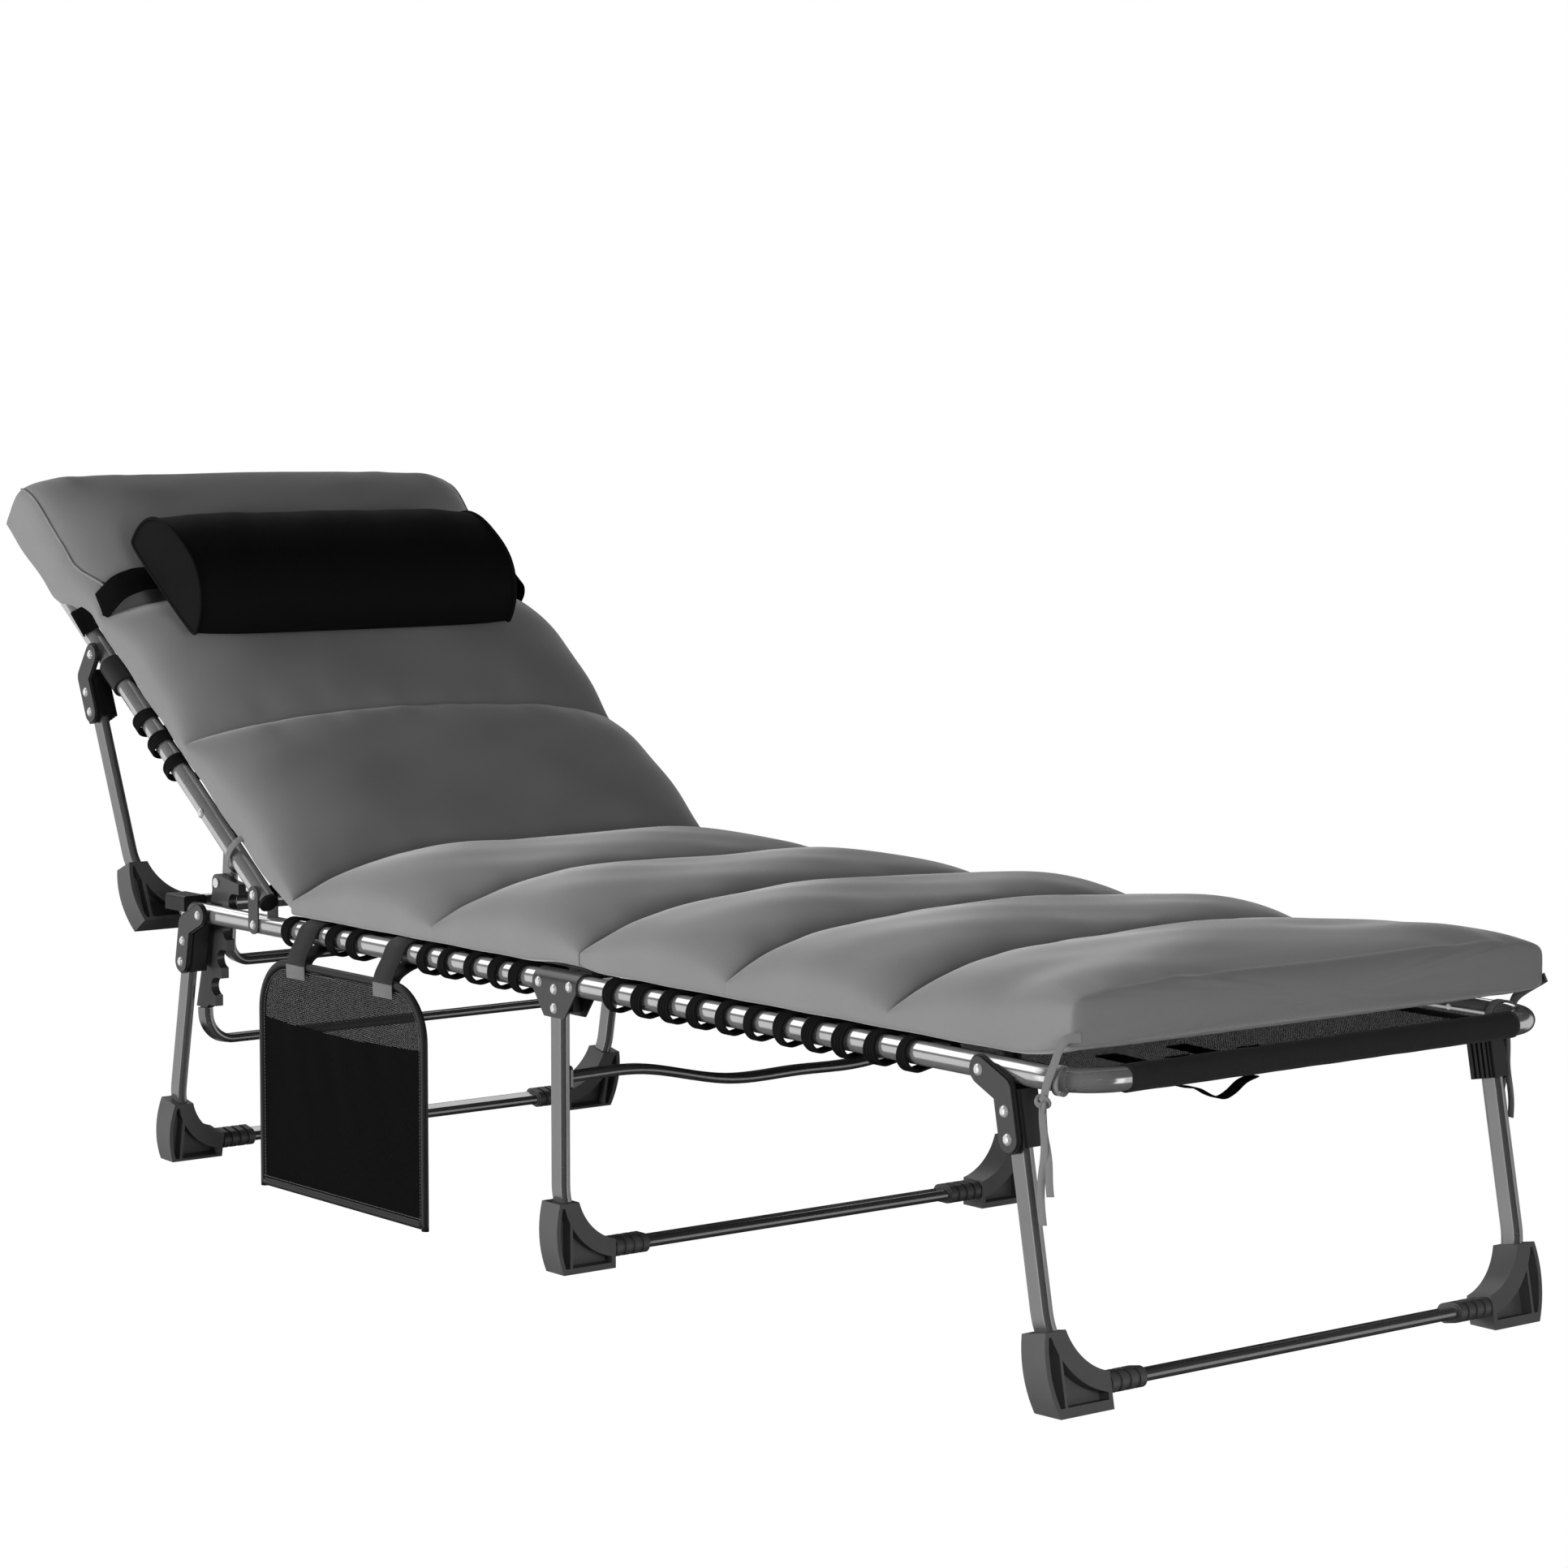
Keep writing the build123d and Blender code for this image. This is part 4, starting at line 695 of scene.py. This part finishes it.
# the ties at the hinge go from the pad's side round the outside of the back's rails
s, y, h = smoothPath([(0.068, -0.2915, 0.026), (0.066, -0.3015, 0.019), (0.064, -0.3070, 0.008),
                      (0.061, -0.3065, -0.006), (0.057, -0.2995, -0.0135), (0.053, -0.2900, -0.0135),
                      (0.051, -0.2835, -0.0090)], 60).T
backTies = [gridPiece("backTies", sweep(onBack(s, side * y, h), backDir, slab(tie["thick"], tie["tailWidth"])),
                      capU=True) for side in (1, -1)]
finishPiece(joinPieces("backTies", backTies), "backrest", "pad_cloth", tieCloth)
print("ties made")


pillow = {
    "low": -0.256, "high": 0.190, "u": 0.420, "halfU": 0.0915, "base": 0.0945, "depth": 0.077, "around": 64,
    "under": 0.010, "puff": 0.006, "inset": 0.007, "middle": 0.032, "endRings": (0.07, 0.22, 0.5, 0.8, 0.97),
    "piping": 0.0024, "thin": 0.06, "thinPower": 6, "edgePower": 0.82, "taper": 0.03, "domePower": 0.92,
    "underPower": 0.3, "wrinkles": ((0.0009, 46, 3, 0), (0.0006, 113, 5, 1.3)),  # size, across, around, phase
}


def pillowShell():
    # a half-round bolster: a nearly flat base and a dome from powers of the cosine and sine of
    # phi; past its length the ends draw in to a point along a quarter wave. The first and last
    # rows of its length are doubled, which keeps the piped edges sharp when it is subdivided.
    rings = np.array(pillow["endRings"])
    t = np.concatenate([-rings[::-1], [0.0], (1 - np.cos(np.linspace(0, math.pi, 50))) / 2, [1.0], 1 + rings])
    inside = np.clip(t, 0, 1)
    past = np.abs(t - inside)
    length = pillow["high"] - pillow["low"] - 2 * pillow["inset"]
    puff = pillow["puff"] * np.sin(past * math.pi / 2) * np.sign(t - inside)
    y = (pillow["low"] + pillow["inset"] + length * inside + puff)[:, None]
    full = (1 - pillow["thin"] * (2 * inside - 1) ** pillow["thinPower"])[:, None]
    size = (1 - past)[:, None]
    phi = np.arange(pillow["around"])[None, :] * 2 * math.pi / pillow["around"]
    c, d = np.cos(phi), np.sin(phi)
    up, under = np.clip(d, 0, 1), pillow["under"]
    u = np.sign(c) * np.abs(c) ** pillow["edgePower"] * (1 - pillow["taper"] * up)
    u = pillow["halfU"] * u * full * size
    dome = np.where(d >= 0, under + (pillow["depth"] - under) * np.abs(d) ** pillow["domePower"],
                    under - under * np.abs(d) ** pillow["underPower"])
    wrinkle = sum(deep * np.sin(across * y + around * phi + phase)
                  for deep, across, around, phase in pillow["wrinkles"])
    lift = full * (dome + wrinkle * up)
    lift = pillow["middle"] + (lift - pillow["middle"]) * size
    return onBack(pillow["u"] + u, y + 0 * u, pillow["base"] + lift)


pillowPoints = pillowShell()
pillowPiece = faceOut(gridPiece("pillowCushion", pillowPoints, capU=True))
finishPiece(pillowPiece, "pillow", "pillow_cloth", replaced=["pillow"])
subdivide(pillowPiece)
lastRing = len(pillow["endRings"])
edges = [gridPiece("pillowPiping", sweep(pillowPoints[row], acrossDir, disc(pillow["piping"]), True), closeU=True)
         for row in (lastRing, -lastRing - 1)]
finishPiece(joinPieces("pillowPiping", edges), "pillow", "pillow_cloth")

# the strap's half, from behind the rail up the pad's side to the middle: across, and out of the back
strapHalf = [(-0.3062, 0.0035), (-0.3060, 0.0075), (-0.2990, 0.0140), (-0.2925, 0.022), (-0.2895, 0.036),
             (-0.2860, 0.052), (-0.2785, 0.066), (-0.2640, 0.0750), (-0.2400, 0.0800), (-0.150, 0.0830),
             (0.0, 0.0835)]
strapLine = np.array(strapHalf + [(-y, n) for y, n in strapHalf[-2::-1]])
across, out = smoothPath(strapLine, 160).T
up = strap["u"] + strap["lowEnd"] * (1 - smooth(out / strap["straightFrom"]))
strapBand = sweep(onBack(up, across, out), backDir, slab(strap["thick"], strap["width"]))
pillowStrap = faceOut(gridPiece("pillowStrap", strapBand, capU=True))
finishPiece(pillowStrap, "backrest", "webbing", replaced=["pillow_strap"])
print("pillow made")


bag = {
    "left": -0.536, "right": -0.212, "top": 0.262, "bottom": 0.010, "corner": 0.058, "y": -0.3180,
    "panel": 0.197, "panelDip": 0.004, "panelOut": 0.0012, "swell": 0.0035,
    "tapeWide": 0.0047, "tapeThick": 0.0036, "tapeIn": 0.0035, "baseIn": 0.004, "baseUp": 0.0045,
    "stitchIn": 0.0095, "stitchOut": 0.0018, "stitchUp": 0.0065, "baseStitchOut": 0.0024,
    "drift": 0.02, "ripples": ((0.0010, 55, 2), (0.0006, 131, 7)),  # size, across, upwards
}
stitch = {"pitch": 0.0036, "length": 0.0024, "width": 0.0007, "height": 0.0006}
bagWide = bag["right"] - bag["left"]


def bagTop(x):
    # level, with a quarter circle at each corner
    into = np.maximum(np.maximum(bag["left"] + bag["corner"] - x, x - bag["right"] + bag["corner"]), 0)
    return bag["top"] - bag["corner"] + np.sqrt(np.maximum(bag["corner"] ** 2 - into**2, 0))


def panelTop(x):
    # the open edge of the front sheet dips by half a wave
    return bag["panel"] - bag["panelDip"] * np.sin((x - bag["left"]) / bagWide * math.pi)


def bagSheet(name, top, y, swell, look, replaced=()):
    # an upright sheet that swells by half a wave across and a square upwards, with fine ripples
    a = np.linspace(0, 1, 66)[:, None]
    b = np.linspace(0, 1, 60)[None, :]
    x = bag["left"] + bagWide * (a - bag["drift"] * np.sin(2 * math.pi * a))
    z = bag["bottom"] + (top(x) - bag["bottom"]) * b
    ripple = sum(deep * np.sin(across * x + up * b) for deep, across, up in bag["ripples"])
    out = (swell * b**2 + ripple * b) * np.sin(math.pi * a)
    cloth = gridPiece(name, np.stack([x + 0 * b, y - out, z], axis=-1), closeV=False)
    return finishPiece(cloth, "side_pocket", "pocket_mesh", look, replaced)


pocketBack = bagSheet("pocketBack", bagTop, bag["y"], 0.0, looks["pocket_mesh"], ["side_pocket_bag"])
pocketFront = bagSheet("pocketFront", panelTop, bag["y"] - bag["panelOut"], bag["swell"], pocketCloth)

turn = np.linspace(0, math.pi / 2, 14)
leftArc = np.stack([bag["left"] + bag["corner"] * (1 - np.cos(turn)),
                    bag["top"] - bag["corner"] * (1 - np.sin(turn))], axis=1)
rightArc = np.stack([bag["left"] + bag["right"] - leftArc[::-1, 0], leftArc[::-1, 1]], axis=1)
upright = np.linspace(bag["bottom"] - 0.001, bag["top"] - bag["corner"], 30)[:-1]
level = np.linspace(leftArc[-1, 0], rightArc[0, 0], 24)[1:-1]
edgeLine = np.concatenate([np.stack([bag["left"] + 0 * upright, upright], axis=1), leftArc,
                           np.stack([level, bag["top"] + 0 * level], axis=1), rightArc,
                           np.stack([bag["right"] + 0 * upright, upright[::-1]], axis=1)])
baseX = np.linspace(bag["left"] + bag["baseIn"], bag["right"] - bag["baseIn"], 40)
baseLine = np.stack([baseX, bag["bottom"] + bag["baseUp"] + 0 * baseX], axis=1)


def onBag(line, out=0.0):
    # a line of x and z on the pocket's plane, or a little in front of it
    return np.stack([line[:, 0], bag["y"] - out + 0 * line[:, 0], line[:, 1]], axis=1)


def insetLine(line, by):
    # each point moved at right angles to the line, towards the pocket's middle
    tangent = unit(np.gradient(line, axis=0))
    return line + by * np.stack([tangent[:, 1], -tangent[:, 0]], axis=1)


tape = oval(bag["tapeWide"], bag["tapeThick"], 14)
bindings = [gridPiece("pocketBinding", sweep(onBag(line), -acrossDir, tape), capU=True)
            for line in (insetLine(edgeLine, bag["tapeIn"]), baseLine)]
pocketBinding = finishPiece(joinPieces("pocketBinding", bindings), "side_pocket", "pocket_mesh", bindingTape)


def stitchRow(name, path, out):
    # raised thread dashes along a path: a small box at every pitch, turned along the path
    along = runLength(path)
    at = np.arange(stitch["pitch"] / 2, along[-1], stitch["pitch"])
    centre, ahead, behind = [np.stack([np.interp(at + by, along, path[:, k]) for k in range(3)], axis=1)
                             for by in (0, stitch["pitch"] / 4, -stitch["pitch"] / 4)]
    tangent = unit(ahead - behind)
    side = unit(np.cross(tangent, out))
    signs = np.array([(a, b, c) for a in (-1, 1) for b in (-1, 1) for c in (-1, 1)], float)[None]
    verts = (centre[:, None] + signs[..., :1] * tangent[:, None] * stitch["length"] / 2
             + signs[..., 1:2] * side[:, None] * stitch["width"] / 2 + signs[..., 2:] * out * stitch["height"] / 2)
    box = np.array([(0, 1, 3, 2), (4, 6, 7, 5), (0, 4, 5, 1), (2, 3, 7, 6), (0, 2, 6, 4), (1, 5, 7, 3)])
    faces = (np.arange(len(at))[:, None, None] * 8 + box[None]).reshape(-1, 4)
    return addPiece(name, verts.reshape(-1, 3), faces.tolist())


threads = [stitchRow("pocketStitches", onBag(line, out), -acrossDir) for line, out in (
    (insetLine(edgeLine, bag["stitchIn"]), bag["stitchOut"]),
    (baseLine + np.array([0, bag["stitchUp"]]), bag["baseStitchOut"]))]
pocketStitches = finishPiece(joinPieces("pocketStitches", threads), "side_pocket", "pocket_mesh", thread)

hanger = {"at": (-0.457, -0.286), "width": 0.036, "thick": 0.0014, "tipWidth": 0.0364, "tipThick": 0.0012}
hangers, tips = [], []
for x in hanger["at"]:
    # up from the pocket's top edge, round the rail, and back down inside
    loop = [(-0.3215, 0.2460), (-0.3220, 0.2600), (-0.3195, 0.2700), (-0.3108, 0.2850), (-0.3045, 0.2975),
            (-0.2930, 0.3038), (-0.2815, 0.2990), (-0.2785, 0.2880), (-0.2850, 0.2780), (-0.3000, 0.2720),
            (-0.3120, 0.2640), (-0.3155, 0.2500)]
    band = sweep(smoothPath([(x, y, z) for y, z in loop], 90), (1, 0, 0), slab(hanger["thick"], hanger["width"]))
    hangers.append(gridPiece("pocketHangers", band, capU=True))
    tipPath = smoothPath([(x, -0.3224, 0.2450), (x, -0.3227, 0.2520), (x, -0.3228, 0.2595)], 12)
    band = sweep(tipPath, (1, 0, 0), slab(hanger["tipThick"], hanger["tipWidth"]))
    tips.append(gridPiece("hangerTips", band, capU=True))
pocketHangers = finishPiece(joinPieces("pocketHangers", hangers), "side_pocket", "hanger_tape",
                            replaced=["pocket_hangers"])
finishPiece(joinPieces("hangerTips", tips), "side_pocket", "hanger_tape", hangerTip)
print("pocket made")


glow = {
    "across": (0.776, 0.617),  # the level direction from one grey card to the other
    "softbox": {"z": (0.36, 0.46), "low": (-0.80, -0.70), "x": (0.5, 0.7), "light": 1.5},
    "low": {"over": (-0.30, -0.15), "under": (-0.50, -0.32)},
    "card": {"aside": (0.3, 0.5), "turned": (-0.24, -0.18), "light": 0.56},
    "strip": {"near": (0.19, 0.25), "far": (-0.52, -0.44), "light": 1.1},
    "dark": 0.02,
}
lamps = {
    "keyLight": {"at": (-0.9, -4.1, 0.58), "to": (-0.1, 0, 0.35), "size": (2.8, 0.9), "power": 330},
    "footLight": {"at": (3.6, -1.2, 1.0), "to": (0.2, 0, 0.35), "size": (1.0, 1.1), "power": 92},
    "topLight": {"at": (-2.6, 0.2, 2.6), "to": (0.0, 0, 0.3), "size": (1.5, 0.7), "power": 2},
    "backFill": {"at": (-2.6, 3.9, 0.8), "to": (-0.1, 0, 0.4), "size": (2.4, 1.2), "power": 80},
}
sky = {"soft": 0.9, "strength": 0.15}
view = {"at": (3.3077, -2.6368, 0.8766), "turn": (141.62, -5.48, 0.08), "lens": 94.85, "sensor": 36.0, "clip": 0.05}


def studioGlow(s):
    # What polished steel mirrors, by the direction that a ray goes in: a softbox overhead, and
    # low down two grey cards and a lit strip beside them. Each is a product of smooth steps.
    x, y, z = s.axes(s.node("ShaderNodeNewGeometry", out="Incoming"))
    cx, cy = glow["across"]
    aside, turned = x * cx + y * cy, y * cx - x * cy

    def step(v, ends):
        return s.node("ShaderNodeMapRange", {"interpolation_type": "SMOOTHSTEP"}, {0: v, 1: ends[0], 2: ends[1]})

    box, card, strip = glow["softbox"], glow["card"], glow["strip"]
    overhead = step(-z, box["z"]) * step(z, box["low"]) * step(x, box["x"]) * box["light"]
    low = step(z, glow["low"]["over"]) * step(-z, glow["low"]["under"])
    cards = step(aside.calc("ABSOLUTE"), card["aside"]) * step(-turned, card["turned"]) * card["light"]
    strips = step(turned, strip["near"]) * step(-turned, strip["far"]) * strip["light"]
    return overhead + low * (cards + strips) + glow["dark"]


# the floor is white to the camera, the studio to polished steel, and pale paper to all else
floorMesh = bpy.data.meshes.new("floor")
floorMesh.from_pydata([(-9, -9, 0), (9, -9, 0), (9, 9, 0), (-9, 9, 0)], [], [(0, 1, 2, 3)])
floor = bpy.data.objects.new("floor", floorMesh)
bpy.context.scene.collection.objects.link(floor)
ground = Shader("studioFloor", Roughness=0.9, Base_Color=grey(0.8))
ray = ground.outputs(ground.node("ShaderNodeLightPath"))
paper = ground.node("ShaderNodeEmission", None, {"Color": grey(1.0), "Strength": 1.0})
mirrored = ground.node("ShaderNodeEmission", None, {"Color": studioGlow(ground), "Strength": 1.0})
surface = ground.either(ray["Is Glossy Ray"], Value(ground, ground.base.outputs[0]), mirrored)
ground.finish(ground.either(ray["Is Camera Ray"], surface, paper), "Material Output")
floorMesh.materials.append(ground.material)

world = bpy.data.worlds.new("studio")
bpy.context.scene.world = world
world.use_nodes = True
air = Nodes(world.node_tree)
mirroredSky = air.node("ShaderNodeBackground", None, {0: studioGlow(air), 1: 1.0})
softSky = air.node("ShaderNodeBackground", None, {0: grey(sky["soft"]), 1: sky["strength"]})
whiteSky = air.node("ShaderNodeBackground", None, {0: grey(1.0), 1: 1.0})
ray = air.outputs(air.node("ShaderNodeLightPath"))
surface = air.either(ray["Is Glossy Ray"], softSky, mirroredSky)
surface = air.either(ray["Is Transmission Ray"], surface, whiteSky)
air.finish(air.either(ray["Is Camera Ray"], surface, whiteSky), "World Output")


def aim(holder, place, target):
    # turns a lamp or camera so that it looks along its -z at the target, with its top up
    forward = unit(np.asarray(target, float) - np.asarray(place, float))
    right = unit(np.cross(forward, (0, 0, 1)))
    above = np.cross(right, forward)
    axes = np.stack([right, above, -forward], axis=1)
    holder.matrix_world = Matrix([(*row, p) for row, p in zip(axes, place)] + [(0, 0, 0, 1)])


for name, lamp in lamps.items():
    light = bpy.data.lights.new(name, "AREA")
    light.shape, light.energy = "RECTANGLE", lamp["power"]
    light.size, light.size_y = lamp["size"]
    holder = bpy.data.objects.new(name, light)
    bpy.context.scene.collection.objects.link(holder)
    holder.visible_glossy = False  # steel mirrors the studio instead
    aim(holder, lamp["at"], lamp["to"])

camera = bpy.data.objects.new("photoCamera", bpy.data.cameras.new("photoCamera"))
bpy.context.scene.collection.objects.link(camera)
camera.data.lens, camera.data.sensor_width, camera.data.clip_start = view["lens"], view["sensor"], view["clip"]
yaw, pitch, roll = [math.radians(a) for a in view["turn"]]
eye = np.array(view["at"])
ahead = np.array([math.cos(pitch) * math.cos(yaw), math.cos(pitch) * math.sin(yaw), math.sin(pitch)])
aim(camera, eye, eye + ahead)
camera.matrix_world = camera.matrix_world @ Matrix.Rotation(roll, 4, "Z")
bpy.context.scene.camera = camera
bpy.context.scene.view_settings.view_transform = "Standard"
